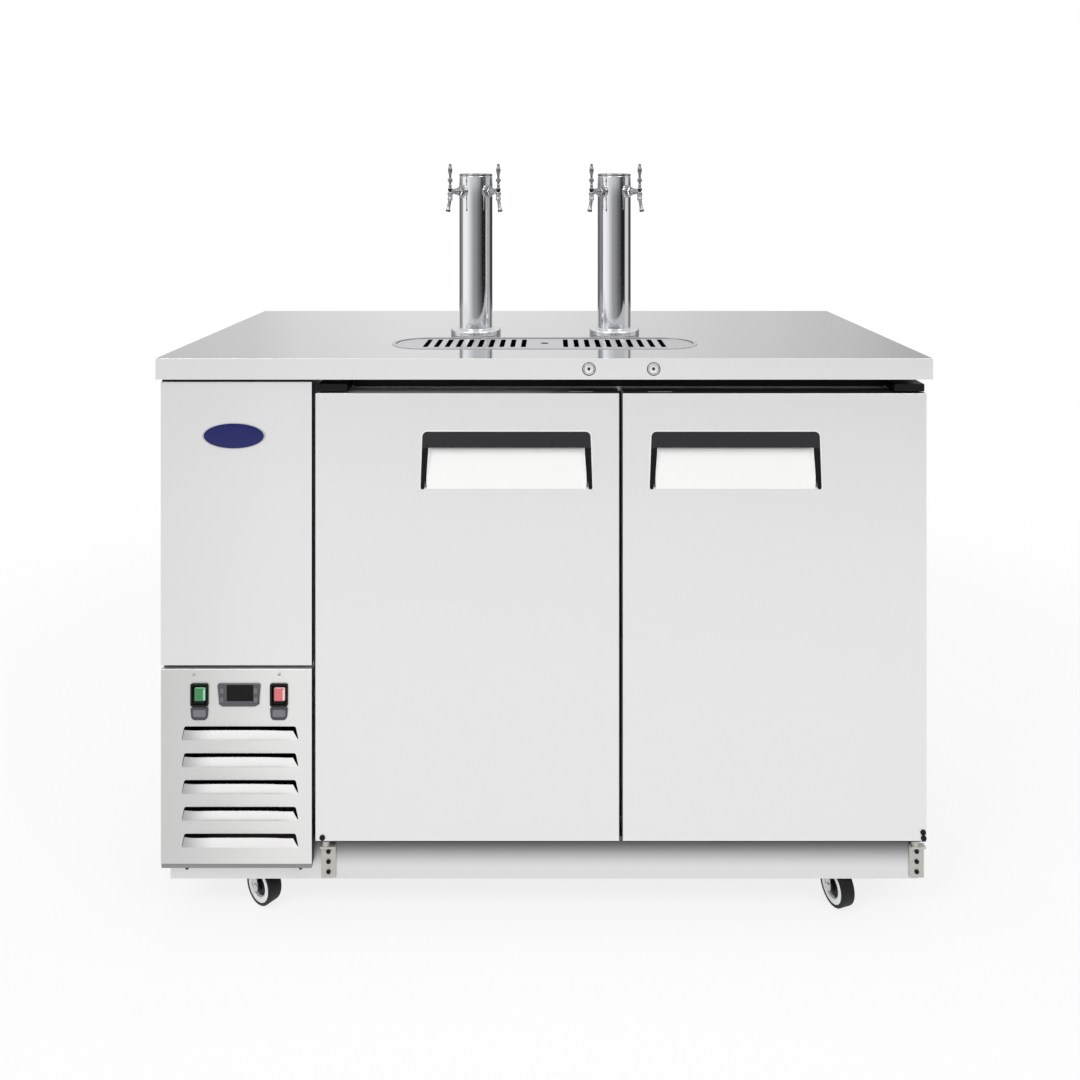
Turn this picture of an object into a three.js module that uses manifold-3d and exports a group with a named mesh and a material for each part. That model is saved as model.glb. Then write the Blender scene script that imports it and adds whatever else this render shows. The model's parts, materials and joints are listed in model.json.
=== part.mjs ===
import * as THREE from "three";
import { mergeVertices } from "three/addons/utils/BufferGeometryUtils.js";
import Module from "manifold-3d";

const wasm = await Module();
wasm.setup();

// A two-door direct-draw beer cooler with its compressor compartment at the left and two tap towers.
// Sizes are in millimetres, +X to the right, +Y to the back and +Z up.
// The origin lies on the floor under the middle of the worktop.

// Clearances
const seat = 0.3; // between two pieces that touch
const running = 0.5; // around a piece that turns or slides in another
const overrun = 4; // how far a cut runs past what it cuts
const weld = 0.001; // vertices closer than this are one

// Worktop: an upturned tray of sheet steel with inward flanges round its lower edge
const topWidth = 1468;
const topDepth = 714;
const topHeight = 1068;
const topApron = 40;
const topSheet = 1.5;
const topFlange = 22;

// Cabinet
const sideOverhang = 7; // of the worktop over the cabinet's sides
const backOverhang = 7;
const frontOverhang = 8; // of the worktop over the doors and panels
const cabinetSheet = 1.2;
const wallThickness = 50; // insulated wall
const sillHeight = 65; // cabinet underside to the keg space's floor
const headerHeight = 70; // keg space's ceiling to the cabinet's top
const linerSheet = 1;
const mullionWidth = 90;
const mullionDepth = 40;
const glandRadius = 12;
const glandBore = 5;
const glandLength = 4;
const glandHeight = 260; // floor to the gland on the back
const glandFromSide = 120;

// Base frame and kick plate
const underHeight = 100; // floor to the base frame
const baseHeight = 30;
const baseSheet = 1.5;
const baseSideInset = 12; // from the cabinet's sides
const baseBackInset = 8;
const railWidth = 100;
const railSetback = 20; // the rails stop this far from the base frame's flanges
const kickSetback = 17; // from the fronts back to the kick plate
const kickSheet = 1.5;
const kickHeight = 81;
const kickRise = 69; // floor to the kick plate's lower edge

// Front panels of the compressor compartment
const panelWidth = 286.5;
const panelDepth = 15;
const panelSheet = 1.5;
const panelTopGap = 6; // under the worktop
const panelSeam = 7; // between the two panels
const panelRise = 108; // floor to the lower panel's lower edge
const grillePanelHeight = 370;

// Louvres
const louvreCount = 5;
const louvreWidth = 211;
const louvreHeight = 26.6;
const louvreThrow = 7; // how far a flap's upper edge stands out
const louvreSlot = 3; // opening above a flap's upper edge
const louvreFirst = 108.6; // panel top to the first slot's top
const louvreFoot = 31.6; // panel bottom to the last flap's foot
const louvreFromLeft = 45;

// Name plate
const plateWidth = 119;
const plateHeight = 49;
const plateThickness = 2;
const plateCorner = 12;
const plateFromLeft = 79.5;
const plateFromTop = 77.5;

// Switches and temperature controller on the grille panel
const switchWidth = 34;
const switchHeight = 43.5;
const bezelThickness = 2.5;
const bezelOverlap = 2.5; // of a bezel over its hole in the panel
const bodyDepth = 24; // of a switch or controller behind the panel
const rockerWidth = 22;
const rockerHeight = 30;
const rockerThrow = 2.2; // how far a rocker's raised end stands out
const rockerDepth = 9;
const powerSwitchX = 74; // from the panel's left edge to the middle
const lightSwitchX = 224.5;
const switchDrop = 48.5; // from the panel's top to the middle of the controls
const controllerWidth = 82;
const controllerHeight = 43;
const controllerX = 149;
const controllerCorner = 4;
const displayWidth = 51;
const displayHeight = 33;
const displayRecess = 1;
const buttonWidth = 7;
const buttonHeight = 10;
const buttonProud = 0.8;
const buttonDepth = 5;
const buttonTravel = 0.6;
const buttonPitch = 17;
const buttonEdge = 9; // controller's edge to the middle of its buttons

// Doors
const hingeGap = 6.5; // between the left door and the panels
const doorGap = 7; // between the doors
const doorEndGap = 2; // between the right door and the cabinet's side
const doorRise = 151.5; // floor to the doors' lower edge
const doorTopGap = 27.5; // under the worktop
const doorThickness = 50;
const doorSheet = 1.2;
const doorLip = 18; // return flange round the back of a door's pan
const pivotInset = 18; // from a door's hinge edge to its pivot
const pivotDepth = 12; // behind a door's face
const pivotRadius = 4;
const pivotReach = 15; // of a pin into its door
const doorLinerThickness = 4;
const dikeHeight = 9; // rim moulded round the door liner
const dikeWidth = 12;
const gasketInset = 20; // from the door's edges
const gasketWidth = 18;
const gasketThickness = 10;

// Recessed door handles
const handleWidth = 318;
const handleHeight = 109;
const handleFromMeet = 54.5; // from a door's free edge
const handleDrop = 72.5; // from a door's top
const handleProud = 1.5;
const handleFlange = 5; // overlap round the hole in the door
const handleBarHeight = 30;
const handleBarThickness = 6;
const handleCorner = 9;
const handleDepth = 38; // behind the door's face
const handleWall = 2.5;
const handleLegTop = 13;
const handleLegFoot = 7;
const handleToe = 5; // plain strip under the scoop

// Door hinges
const earThickness = 4;
const earRise = 134; // floor to the ear's underside
const collarRadius = 8;
const bracketHeight = 61.5;
const bracketWidth = 28;
const bracketSheet = 2.5;
const bracketHole = 3.2;
const bracketHolePitch = 19.3;
const bracketHoleDrop = 12; // from the bracket's top to its first hole
const bracketOuters = [10, 18]; // pivot to each bracket's outer edge, left and right
const armLength = 57;
const armHeight = 14;
const armClearance = 3; // over a door's top
const armOuter = 15; // pivot to the arm's outer end

// Door locks in the worktop's apron
const lockSpread = 61.1; // from the doors' meeting line
const lockDrop = 20; // under the worktop's top
const lockRing = 12.5;
const lockBarrel = 9.5;
const lockRingThickness = 3;
const lockSink = 0.5; // ring's face behind the apron's face
const camLength = 56;
const camWidth = 14;
const camThickness = 2.5;
const keyWidth = 2;
const keyHeight = 8;
const keyDepth = 3;
const camPath = 38; // slot in the door's top, on the side the cam comes from
const camClearance = 1.5; // round the cam in that slot

// Drip tray
const trayWidth = 630;
const trayDepth = 147;
const traySetback = 182; // worktop's front edge to the tray's middle
const trayCorner = 70;
const trayRim = 8;
const trayRimThickness = 1.2;
const trayWell = 25; // under the worktop's top face
const traySheet = 1.5;
const grateThickness = 2;
const grateSlots = 10; // in each half
const grateSlotPitch = 22.1;
const grateSlotWidth = 10;
const grateSlotLength = 98;
const grateSlotRound = 3.2;
const grateSlotStart = 43; // from the middle to each half's first slot
const grateRibThickness = 2;
const grateRibSpread = 55;
const grateGripWidth = 16;
const grateGripLength = 9;

// Tap towers
const towerSpread = 152.4;
const towerSetback = 313; // worktop's front edge to the towers' axis
const towerRise = 354; // above the worktop
const towerRadius = 36.25;
const towerWall = 2;
const capHeight = 7;
const capDome = 2.5;
const flangeRadius = 55;
const flangeHeight = 13;
const flangeRound = 5;
const lineHole = 25; // radius of the holes the beer lines pass through

// Faucets, in a tower's own frame: out from its axis, and up
const faucetAngle = 47; // degrees either side of the front
const shankDrop = 40; // tower's top to the shank's axis
const shankRadius = 6;
const collarOuter = 14;
const collarThickness = 5;
const nutRadius = 10;
const nutLength = 7;
const barrelRadius = 7;
const barrelLength = 12;
const spindleReach = 71; // tower's axis to the faucet's spindle
const spindleRadius = 5.5;
const spindleFoot = 20; // spindle's lower end under the shank's axis
const leverPivotRise = 4; // above the shank's axis
const leverBall = 5;
const leverBallSteps = 4;
const leverBallShare = 0.65; // of the half turn from the ball's foot to its top
const leverLength = 56;
const leverRadius = 5.6;
const leverProfileShares = [
  [0.62, 0.1],
  [0.86, 0.16],
  [0.5, 0.24],
  [1, 0.37],
  [0.5, 0.46],
  [0.62, 0.6],
  [0.88, 0.73],
  [0.66, 0.86],
  [0.45, 0.95],
]; // of the lever's radius and length
const spoutLength = 33;
const spoutRadius = 4.2;
const spoutLean = 12; // degrees out from straight down
const tipRadius = 5.2;
const tipLength = 4;
const tipBore = 3;
const tipBoreDepth = 9;

// Casters
const wheelRadius = 37.5;
const wheelWidth = 30;
const wheelBore = 5.5;
const hubRadius = 20;
const hubSink = 4;
const treadRound = 7;
const casterTrail = 20;
const casterAngles = [-38, -70, -52, -52]; // degrees from +X to the wheels' trail, in casterPlaces' order
const casterSideInset = 172; // worktop's side to the casters' axes
const casterEndInset = 74; // worktop's front or back edge to the casters' axes
const casterPlate = 72;
const casterPlateThickness = 4;
const forkSheet = 3;
const forkGap = 2; // between wheel and fork leg
const forkCrownRadius = 27;
const forkCrownThickness = 3;
const axleBoss = 9;
const kingpinRadius = 5;
const kingpinHead = 10;
const kingpinHeadThickness = 4;

// Compressor compartment
const compressorRadius = 82;
const compressorHeight = 185;
const compressorWall = 13;
const compressorDome = 41;
const compressorDomeShares = [
  [1, 0],
  [0.9, 0.55],
  [0.6, 0.9],
  [0, 1],
]; // of the can's radius and the dome's height
const compressorFoot = 4;
const compressorFootWidth = 190;
const compressorFootDepth = 133;
const compressorPipe = 41; // above the can
const compressorInset = 230; // from the cabinet's back
const condenserWidth = 230;
const condenserHeight = 250;
const condenserDepth = 44;
const condenserSetback = 48.7; // behind the front panels
const condenserFins = 16;
const finSlotDepth = 30;
const finSlotShare = 0.6; // of the fin pitch
const shroudDepth = 50;
const shroudSheet = 2;
const fanRadius = 95;
const fanBlades = 5;
const fanHubRadius = 24;
const fanHubLength = 22;
const fanBladeWidth = 44;
const fanBladeThickness = 2;
const fanBladePitch = 28; // degrees
const fanTipGap = 6;
const motorRadius = 32;
const motorLength = 45;
const motorArm = 12;
const shaftRadius = 4;

// Evaporator in the keg space
const evaporatorDepth = 90;
const evaporatorWidth = 340;
const evaporatorHeight = 330;
const evaporatorSheet = 2;
const evaporatorInset = 240; // keg space's back to the evaporator's middle
const coilDepth = 24;

// Facets round the turned pieces
const fine = 20;
const coarse = 12;

// Places worked out from the sizes above
const topFront = -topDepth / 2;
const bodyLeft = -topWidth / 2 + sideOverhang;
const bodyRight = topWidth / 2 - sideOverhang;
const bodyBack = topDepth / 2 - backOverhang;
const faceY = topFront + frontOverhang;
const topUnderside = topHeight - topApron;
const bodyTop = topUnderside - seat;
const baseTop = underHeight + baseHeight;
const bodyBottom = baseTop + seat;
const panelRight = bodyLeft + panelWidth;
const panelBack = faceY + panelDepth;
const wallFront = panelBack + seat;
const doorStack = doorThickness + doorLinerThickness + gasketThickness + 3 * seat;
const frameFront = faceY + doorStack;
const leftEdge = panelRight + hingeGap;
const rightEdge = bodyRight - doorEndGap;
const doorWidth = (rightEdge - leftEdge - doorGap) / 2;
const meetX = (leftEdge + rightEdge) / 2;
const doorTop = topUnderside - doorTopGap;
const cavityLeft = panelRight + wallThickness;
const cavityRight = bodyRight - wallThickness;
const cavityBack = bodyBack - wallThickness;
const cavityFloor = bodyBottom + sillHeight;
const cavityCeiling = bodyTop - headerHeight;
const mullionLeft = meetX - mullionWidth / 2;
const mullionRight = meetX + mullionWidth / 2;
const kickY = faceY + kickSetback;
const baseFront = kickY + kickSheet + seat;
const baseBack = bodyBack - baseBackInset;
const grilleTop = panelRise + grillePanelHeight;
const upperPanelBottom = grilleTop + panelSeam;
const upperPanelTop = topUnderside - panelTopGap;
const louvreRun = grillePanelHeight - louvreFirst - louvreHeight - louvreFoot;
const louvrePitch = louvreRun / (louvreCount - 1);
const trayY = topFront + traySetback;
const towerY = topFront + towerSetback;
const lockZ = topHeight - lockDrop;
const controlZ = grilleTop - switchDrop;
const casterSpreadX = topWidth / 2 - casterSideInset;
const casterSpreadY = topDepth / 2 - casterEndInset;
const compressorY = bodyBack - compressorInset;
const condenserY = wallFront + condenserSetback;
const evaporatorY = cavityBack - evaporatorInset;

// Helpers: solids that can be joined and cut

function solid(geometry) {
  const flat = geometry.index ? geometry.toNonIndexed() : geometry;
  const bare = new THREE.BufferGeometry();
  bare.setAttribute("position", flat.getAttribute("position"));
  const welded = mergeVertices(bare, weld);
  return new wasm.Manifold(
    new wasm.Mesh({
      numProp: 3,
      vertProperties: welded.getAttribute("position").array,
      triVerts: new Uint32Array(welded.index.array),
    }),
  );
}

function join(first, ...others) {
  return others.reduce((sum, other) => sum.add(other), first);
}

function cut(first, ...tools) {
  return tools.reduce((rest, tool) => rest.subtract(tool), first);
}

// Moves each corner of a geometry to the place that a function gives for it.
function placed(geometry, place) {
  const corners = geometry.getAttribute("position");
  for (let index = 0; index < corners.count; index += 1) {
    const [a, b, c] = [corners.getX(index), corners.getY(index), corners.getZ(index)];
    corners.setXYZ(index, ...place(a, b, c));
  }
  return solid(geometry);
}

function block(x0, x1, y0, y1, z0, z1) {
  return placed(new THREE.BoxGeometry(), (a, b, c) => [
    a < 0 ? x0 : x1,
    b < 0 ? y0 : y1,
    c < 0 ? z0 : z1,
  ]);
}

// A rod of round section between two points.
function rod(radius, from, to, sides = coarse) {
  const start = new THREE.Vector3(...from);
  const run = new THREE.Vector3(...to).sub(start);
  const geometry = new THREE.CylinderGeometry(radius, radius, run.length(), sides);
  const up = new THREE.Vector3(0, 1, 0);
  geometry.applyQuaternion(new THREE.Quaternion().setFromUnitVectors(up, run.clone().normalize()));
  geometry.translate(...start.addScaledVector(run, 1 / 2));
  return solid(geometry);
}

// A turned piece: its profile is a list of [radius, height], from the bottom up, round Z.
function turned(profile, sides = fine) {
  const points = profile.map(([radius, height]) => new THREE.Vector2(radius, height));
  const geometry = new THREE.LatheGeometry(points, sides);
  return solid(geometry.rotateX(Math.PI / 2));
}

function roundedShape(width, height, radius) {
  const shape = new THREE.Shape();
  const x = width / 2 - radius;
  const y = height / 2 - radius;
  shape.absarc(x, y, radius, 0, Math.PI / 2);
  shape.absarc(-x, y, radius, Math.PI / 2, Math.PI);
  shape.absarc(-x, -y, radius, Math.PI, (3 * Math.PI) / 2);
  shape.absarc(x, -y, radius, (3 * Math.PI) / 2, 2 * Math.PI);
  return shape;
}

function outline(points) {
  return new THREE.Shape(points.map(([x, y]) => new THREE.Vector2(x, y)));
}

function extruded(shape, curveSegments) {
  return new THREE.ExtrudeGeometry(shape, { depth: 1, bevelEnabled: false, curveSegments });
}

// A plate lying flat, from z0 to z1.
function flatPlate(shape, z0, z1, curveSegments = 4) {
  return placed(extruded(shape, curveSegments), (a, b, c) => [a, b, c ? z1 : z0]);
}

// A plate standing in the XZ plane, from y0 back to y1.
function frontPlate(shape, y0, y1, curveSegments = 4) {
  return placed(extruded(shape, curveSegments), (a, b, c) => [a, c ? y0 : y1, b]);
}

// A section in the YZ plane, run from x0 to x1.
function sideRun(shape, x0, x1) {
  return placed(extruded(shape, 1), (a, b, c) => [c ? x1 : x0, a, b]);
}

function paint(color, roughness, metalness) {
  return new THREE.MeshStandardMaterial({ color, roughness, metalness });
}

function add(parent, name, piece, material) {
  const { vertProperties, triVerts } = piece.getMesh();
  const indexed = new THREE.BufferGeometry();
  indexed.setAttribute("position", new THREE.BufferAttribute(vertProperties, 3));
  indexed.setIndex(new THREE.BufferAttribute(triVerts, 1));
  const geometry = indexed.toNonIndexed();
  geometry.computeVertexNormals();
  const mesh = new THREE.Mesh(geometry, material);
  mesh.name = name;
  parent.add(mesh);
  return mesh;
}

function groupAt(parent, x, y, z, turnDegrees = 0) {
  const group = new THREE.Group();
  group.position.set(x, y, z);
  group.rotation.z = THREE.MathUtils.degToRad(turnDegrees);
  parent.add(group);
  return group;
}

const steel = paint("#d3d4d6", 0.32, 0.9);
const panelSteel = paint("#d9d9d8", 0.35, 0.8);
const linerSteel = paint("#c9cccf", 0.4, 0.8);
const polished = paint("#e4e5e7", 0.08, 1);
const galvanised = paint("#9a9c9e", 0.5, 0.8);
const bracketGrey = paint("#aeaaa6", 0.45, 0.6);
const white = paint("#eef0f0", 0.5, 0);
const charcoal = paint("#323237", 0.45, 0);
const black = paint("#141416", 0.5, 0);
const tyreBlack = paint("#1d1e22", 0.8, 0);
const greyPlastic = paint("#9b9ca0", 0.5, 0);
const greenPlastic = paint("#3f9a52", 0.35, 0);
const redPlastic = paint("#c9565c", 0.35, 0);
const navy = paint("#2b3b66", 0.3, 0.1);
const copper = paint("#b07a52", 0.35, 0.9);

// Cabinet

// The mullion between the doorways is a channel, so it leaves two notches in the keg space's plan.
function kegSpacePlan() {
  const front = frameFront + cabinetSheet;
  const cheekBack = frameFront + mullionDepth;
  const inset = cabinetSheet;
  return outline([
    [panelRight, front],
    [mullionLeft, front],
    [mullionLeft, cheekBack],
    [mullionLeft + inset, cheekBack],
    [mullionLeft + inset, front],
    [mullionRight - inset, front],
    [mullionRight - inset, cheekBack],
    [mullionRight, cheekBack],
    [mullionRight, front],
    [bodyRight - inset, front],
    [bodyRight - inset, bodyBack - inset],
    [panelRight, bodyBack - inset],
  ]);
}

function outerCabinet() {
  const plan = outline([
    [bodyLeft, wallFront],
    [panelRight, wallFront],
    [panelRight, frameFront],
    [bodyRight, frameFront],
    [bodyRight, bodyBack],
    [bodyLeft, bodyBack],
  ]);
  const floorTop = bodyBottom + cabinetSheet;
  const compartment = block(
    bodyLeft + cabinetSheet,
    panelRight - cabinetSheet,
    wallFront - overrun,
    bodyBack - cabinetSheet,
    floorTop,
    bodyTop + overrun,
  );
  const doorway = (x0, x1) =>
    block(x0, x1, frameFront - overrun, frameFront + overrun, cavityFloor, cavityCeiling);
  const cheekTrim = (z0, z1) =>
    block(
      mullionLeft - seat,
      mullionRight + seat,
      frameFront + cabinetSheet + seat,
      frameFront + mullionDepth + overrun,
      z0,
      z1,
    );
  const glandX = bodyLeft + glandFromSide;
  const glandRod = (radius, run) =>
    rod(
      radius,
      [glandX, bodyBack - cabinetSheet / 2 - run, glandHeight],
      [glandX, bodyBack + glandLength + run, glandHeight],
    );
  const shell = cut(
    flatPlate(plan, bodyBottom, bodyTop),
    compartment,
    flatPlate(kegSpacePlan(), floorTop, bodyTop + overrun),
    doorway(cavityLeft, mullionLeft - seat),
    doorway(mullionRight + seat, cavityRight),
    cheekTrim(floorTop + seat, cavityFloor + seat),
    cheekTrim(cavityCeiling - seat, bodyTop + overrun),
  );
  return cut(join(shell, glandRod(glandRadius, 0)), glandRod(glandBore, overrun));
}

function innerLiner() {
  const front = frameFront + cabinetSheet + seat;
  const outside = block(
    cavityLeft - linerSheet,
    cavityRight + linerSheet,
    front,
    cavityBack + linerSheet,
    cavityFloor - linerSheet,
    cavityCeiling + linerSheet,
  );
  const inside = block(
    cavityLeft,
    cavityRight,
    front - overrun,
    cavityBack,
    cavityFloor,
    cavityCeiling,
  );
  const lineHoles = [-towerSpread, towerSpread].map((x) =>
    rod(
      lineHole,
      [x, towerY, cavityCeiling - overrun],
      [x, towerY, cavityCeiling + linerSheet + overrun],
    ),
  );
  return cut(outside, inside, ...lineHoles);
}

function baseRail(x) {
  const y0 = baseFront + railSetback;
  const y1 = baseBack - railSetback;
  const outside = block(x - railWidth / 2, x + railWidth / 2, y0, y1, underHeight, baseTop);
  const inside = block(
    x - railWidth / 2 + baseSheet,
    x + railWidth / 2 - baseSheet,
    y0 - overrun,
    y1 + overrun,
    underHeight + baseSheet,
    baseTop - baseSheet,
  );
  return cut(outside, inside);
}

function casterMount(x, y) {
  const plateBottom = underHeight - casterPlateThickness;
  const half = casterPlate / 2;
  const plate = block(x - half, x + half, y - half, y + half, plateBottom, underHeight);
  const crownBottom = plateBottom - seat - forkCrownThickness;
  const headTop = crownBottom - seat;
  const pin = rod(kingpinRadius, [x, y, headTop - kingpinHeadThickness], [x, y, underHeight]);
  const head = rod(kingpinHead, [x, y, headTop - kingpinHeadThickness], [x, y, headTop]);
  return join(plate, pin, head);
}

function baseFrame() {
  const x0 = bodyLeft + baseSideInset;
  const x1 = bodyRight - baseSideInset;
  const outside = block(x0, x1, baseFront, baseBack, underHeight, baseTop);
  const inside = block(
    x0 + baseSheet,
    x1 - baseSheet,
    baseFront + baseSheet,
    baseBack - baseSheet,
    underHeight - overrun,
    baseTop - baseSheet,
  );
  const mounts = casterPlaces().map(([x, y]) => casterMount(x, y));
  return join(
    cut(outside, inside),
    baseRail(-casterSpreadX),
    baseRail(casterSpreadX),
    ...mounts,
  );
}

function kickPlate() {
  const x0 = bodyLeft + baseSideInset;
  const x1 = bodyRight - baseSideInset;
  const step = panelRight + seat;
  const top = kickRise + kickHeight;
  const face = outline([
    [x0, kickRise],
    [x1, kickRise],
    [x1, top],
    [step, top],
    [step, baseTop],
    [x0, baseTop],
  ]);
  const ledge = block(
    step + seat,
    x1 - seat,
    kickY + kickSheet / 2,
    frameFront - seat,
    top - 2 * kickSheet,
    top - kickSheet,
  );
  return join(frontPlate(face, kickY, kickY + kickSheet), ledge);
}

// Front panels of the compressor compartment, each a shallow pan open at the back

function panelPan(bottom, height) {
  const outside = block(bodyLeft, panelRight, faceY, panelBack, bottom, bottom + height);
  const inside = block(
    bodyLeft + panelSheet,
    panelRight - panelSheet,
    faceY + panelSheet,
    panelBack + overrun,
    bottom + panelSheet,
    bottom + height - panelSheet,
  );
  return cut(outside, inside);
}

function louvre(index) {
  const top = grilleTop - louvreFirst - index * louvrePitch;
  const bottom = top - louvreHeight;
  const x0 = bodyLeft + louvreFromLeft;
  const x1 = x0 + louvreWidth;
  const hole = block(
    x0,
    x1,
    faceY - overrun,
    faceY + panelSheet + overrun,
    bottom + panelSheet,
    top,
  );
  const flap = sideRun(
    outline([
      [faceY, bottom],
      [faceY + panelSheet, bottom],
      [faceY + panelSheet, bottom + panelSheet],
      [faceY - louvreThrow + panelSheet, top - louvreSlot],
      [faceY - louvreThrow, top - louvreSlot],
    ]),
    x0,
    x1,
  );
  return { hole, flap };
}

function controlHole(fromLeft, width, height) {
  const x = bodyLeft + fromLeft;
  const halfWidth = width / 2 - bezelOverlap;
  const halfHeight = height / 2 - bezelOverlap;
  return block(
    x - halfWidth,
    x + halfWidth,
    faceY - overrun,
    faceY + panelSheet + overrun,
    controlZ - halfHeight,
    controlZ + halfHeight,
  );
}

function grillePanel() {
  const louvres = Array.from({ length: louvreCount }, (_, index) => louvre(index));
  const pan = cut(
    panelPan(panelRise, grillePanelHeight),
    ...louvres.map(({ hole }) => hole),
    controlHole(powerSwitchX, switchWidth, switchHeight),
    controlHole(lightSwitchX, switchWidth, switchHeight),
    controlHole(controllerX, controllerWidth, controllerHeight),
  );
  return join(pan, ...louvres.map(({ flap }) => flap));
}

function namePlate() {
  return frontPlate(roundedShape(plateWidth, plateHeight, plateCorner), -plateThickness, 0);
}

// Switches and controller, in a frame at the middle of each on the panel's face

function switchHousing() {
  const halfWidth = switchWidth / 2;
  const halfHeight = switchHeight / 2;
  const inset = bezelOverlap + seat;
  const bezel = block(
    -halfWidth,
    halfWidth,
    -seat - bezelThickness,
    -seat,
    -halfHeight,
    halfHeight,
  );
  const body = block(
    -halfWidth + inset,
    halfWidth - inset,
    -seat - bezelThickness,
    bodyDepth,
    -halfHeight + inset,
    halfHeight - inset,
  );
  const well = block(
    -rockerWidth / 2 - seat,
    rockerWidth / 2 + seat,
    -seat - bezelThickness - overrun,
    rockerDepth + rockerThrow,
    -rockerHeight / 2 - running,
    rockerHeight / 2 + running,
  );
  return cut(join(bezel, body), well);
}

// A rocker that stands out at its lower end: its face is two flats that meet at the pivot's height.
function rocker() {
  const front = -seat - bezelThickness;
  const half = rockerHeight / 2;
  const section = outline([
    [front, half],
    [front + rockerThrow / 2, 0],
    [front - rockerThrow, -half],
    [rockerDepth / 2, -half + rockerThrow],
    [rockerDepth, 0],
    [rockerDepth / 2, half - rockerThrow],
  ]);
  return sideRun(section, -rockerWidth / 2, rockerWidth / 2);
}

function buttonPlaces() {
  const x = controllerWidth / 2 - buttonEdge;
  const z = buttonPitch / 2;
  return [
    [-x, z],
    [-x, -z],
    [x, z],
    [x, -z],
  ];
}

function buttonWell(x, z) {
  return block(
    x - buttonWidth / 2 - seat,
    x + buttonWidth / 2 + seat,
    -seat - bezelThickness - overrun,
    buttonDepth - bezelThickness + buttonTravel + seat,
    z - buttonHeight / 2 - seat,
    z + buttonHeight / 2 + seat,
  );
}

function controllerBody() {
  const front = -seat - bezelThickness;
  const inset = bezelOverlap + seat;
  const bezel = frontPlate(
    roundedShape(controllerWidth, controllerHeight, controllerCorner),
    front,
    -seat,
  );
  const body = block(
    -controllerWidth / 2 + inset,
    controllerWidth / 2 - inset,
    front + displayRecess,
    bodyDepth,
    -controllerHeight / 2 + inset,
    controllerHeight / 2 - inset,
  );
  const display = block(
    -displayWidth / 2,
    displayWidth / 2,
    front - overrun,
    front + displayRecess,
    -displayHeight / 2,
    displayHeight / 2,
  );
  return cut(join(bezel, body), display, ...buttonPlaces().map(([x, z]) => buttonWell(x, z)));
}

function controllerButton() {
  const front = -seat - bezelThickness - buttonProud;
  return block(
    -buttonWidth / 2,
    buttonWidth / 2,
    front,
    front + buttonDepth,
    -buttonHeight / 2,
    buttonHeight / 2,
  );
}

// Worktop, drip tray and grate

function lockPlaces() {
  return [meetX - lockSpread, meetX + lockSpread];
}

function worktop() {
  const half = topWidth / 2;
  const outside = block(-half, half, topFront, topDepth / 2, topUnderside, topHeight);
  const inside = block(
    -half + topSheet,
    half - topSheet,
    topFront + topSheet,
    topDepth / 2 - topSheet,
    topUnderside + topSheet,
    topHeight - topSheet,
  );
  const mouth = block(
    -half + topFlange,
    half - topFlange,
    topFront + topFlange,
    topDepth / 2 - topFlange,
    topUnderside - overrun,
    topUnderside + topSheet + overrun,
  );
  const well = flatPlate(
    roundedShape(trayWellWidth() + 2 * seat, trayWellDepth() + 2 * seat, trayWellCorner() + seat),
    topHeight - topSheet - overrun,
    topHeight + overrun,
  ).translate([0, trayY, 0]);
  const lineHoles = [-towerSpread, towerSpread].map((x) =>
    rod(
      lineHole,
      [x, towerY, topHeight - topSheet - overrun],
      [x, towerY, topHeight + overrun],
    ),
  );
  const lockHoles = lockPlaces().map((x) =>
    rod(
      lockRing + seat,
      [x, topFront - overrun, lockZ],
      [x, topFront + topSheet + overrun, lockZ],
      fine,
    ),
  );
  return cut(outside, inside, mouth, well, ...lineHoles, ...lockHoles);
}

function trayWellWidth() {
  return trayWidth - 2 * trayRim;
}

function trayWellDepth() {
  return trayDepth - 2 * trayRim;
}

function trayWellCorner() {
  return trayCorner - trayRim;
}

function dripPan() {
  const rimBottom = topHeight + seat;
  const rim = flatPlate(
    roundedShape(trayWidth, trayDepth, trayCorner),
    rimBottom,
    rimBottom + trayRimThickness,
  );
  const well = flatPlate(
    roundedShape(trayWellWidth(), trayWellDepth(), trayWellCorner()),
    topHeight - trayWell,
    rimBottom + trayRimThickness,
  );
  const hollow = flatPlate(
    roundedShape(
      trayWellWidth() - 2 * traySheet,
      trayWellDepth() - 2 * traySheet,
      trayWellCorner() - traySheet,
    ),
    topHeight - trayWell + traySheet,
    topHeight + overrun,
  );
  return cut(join(rim, well), hollow);
}

function dripGrate() {
  const width = trayWellWidth() - 2 * traySheet - 2 * seat;
  const depth = trayWellDepth() - 2 * traySheet - 2 * seat;
  const plate = flatPlate(
    roundedShape(width, depth, trayWellCorner() - traySheet - seat),
    topHeight - grateThickness,
    topHeight,
  );
  const slotShape = roundedShape(grateSlotWidth, grateSlotLength, grateSlotRound);
  const slots = [];
  for (const side of [-1, 1])
    for (let index = 0; index < grateSlots; index += 1) {
      const x = side * (grateSlotStart + index * grateSlotPitch);
      const slot = flatPlate(
        slotShape,
        topHeight - grateThickness - overrun,
        topHeight + overrun,
        1,
      );
      slots.push(slot.translate([x, 0, 0]));
    }
  const grip = flatPlate(
    roundedShape(grateGripWidth, grateGripLength, grateGripLength / 2),
    topHeight - grateThickness - overrun,
    topHeight + overrun,
    2,
  );
  const ribBottom = topHeight - trayWell + traySheet + seat;
  const ribHalf = (grateSlotStart + (grateSlots - 1) * grateSlotPitch + grateSlotWidth);
  const ribs = [-grateRibSpread, grateRibSpread].map((y) =>
    block(
      -ribHalf,
      ribHalf,
      y - grateRibThickness / 2,
      y + grateRibThickness / 2,
      ribBottom,
      topHeight - grateThickness,
    ),
  );
  return join(cut(plate, ...slots, grip), ...ribs);
}

// Tap towers, each in a frame on the worktop's top face, with its front towards -Y

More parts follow.
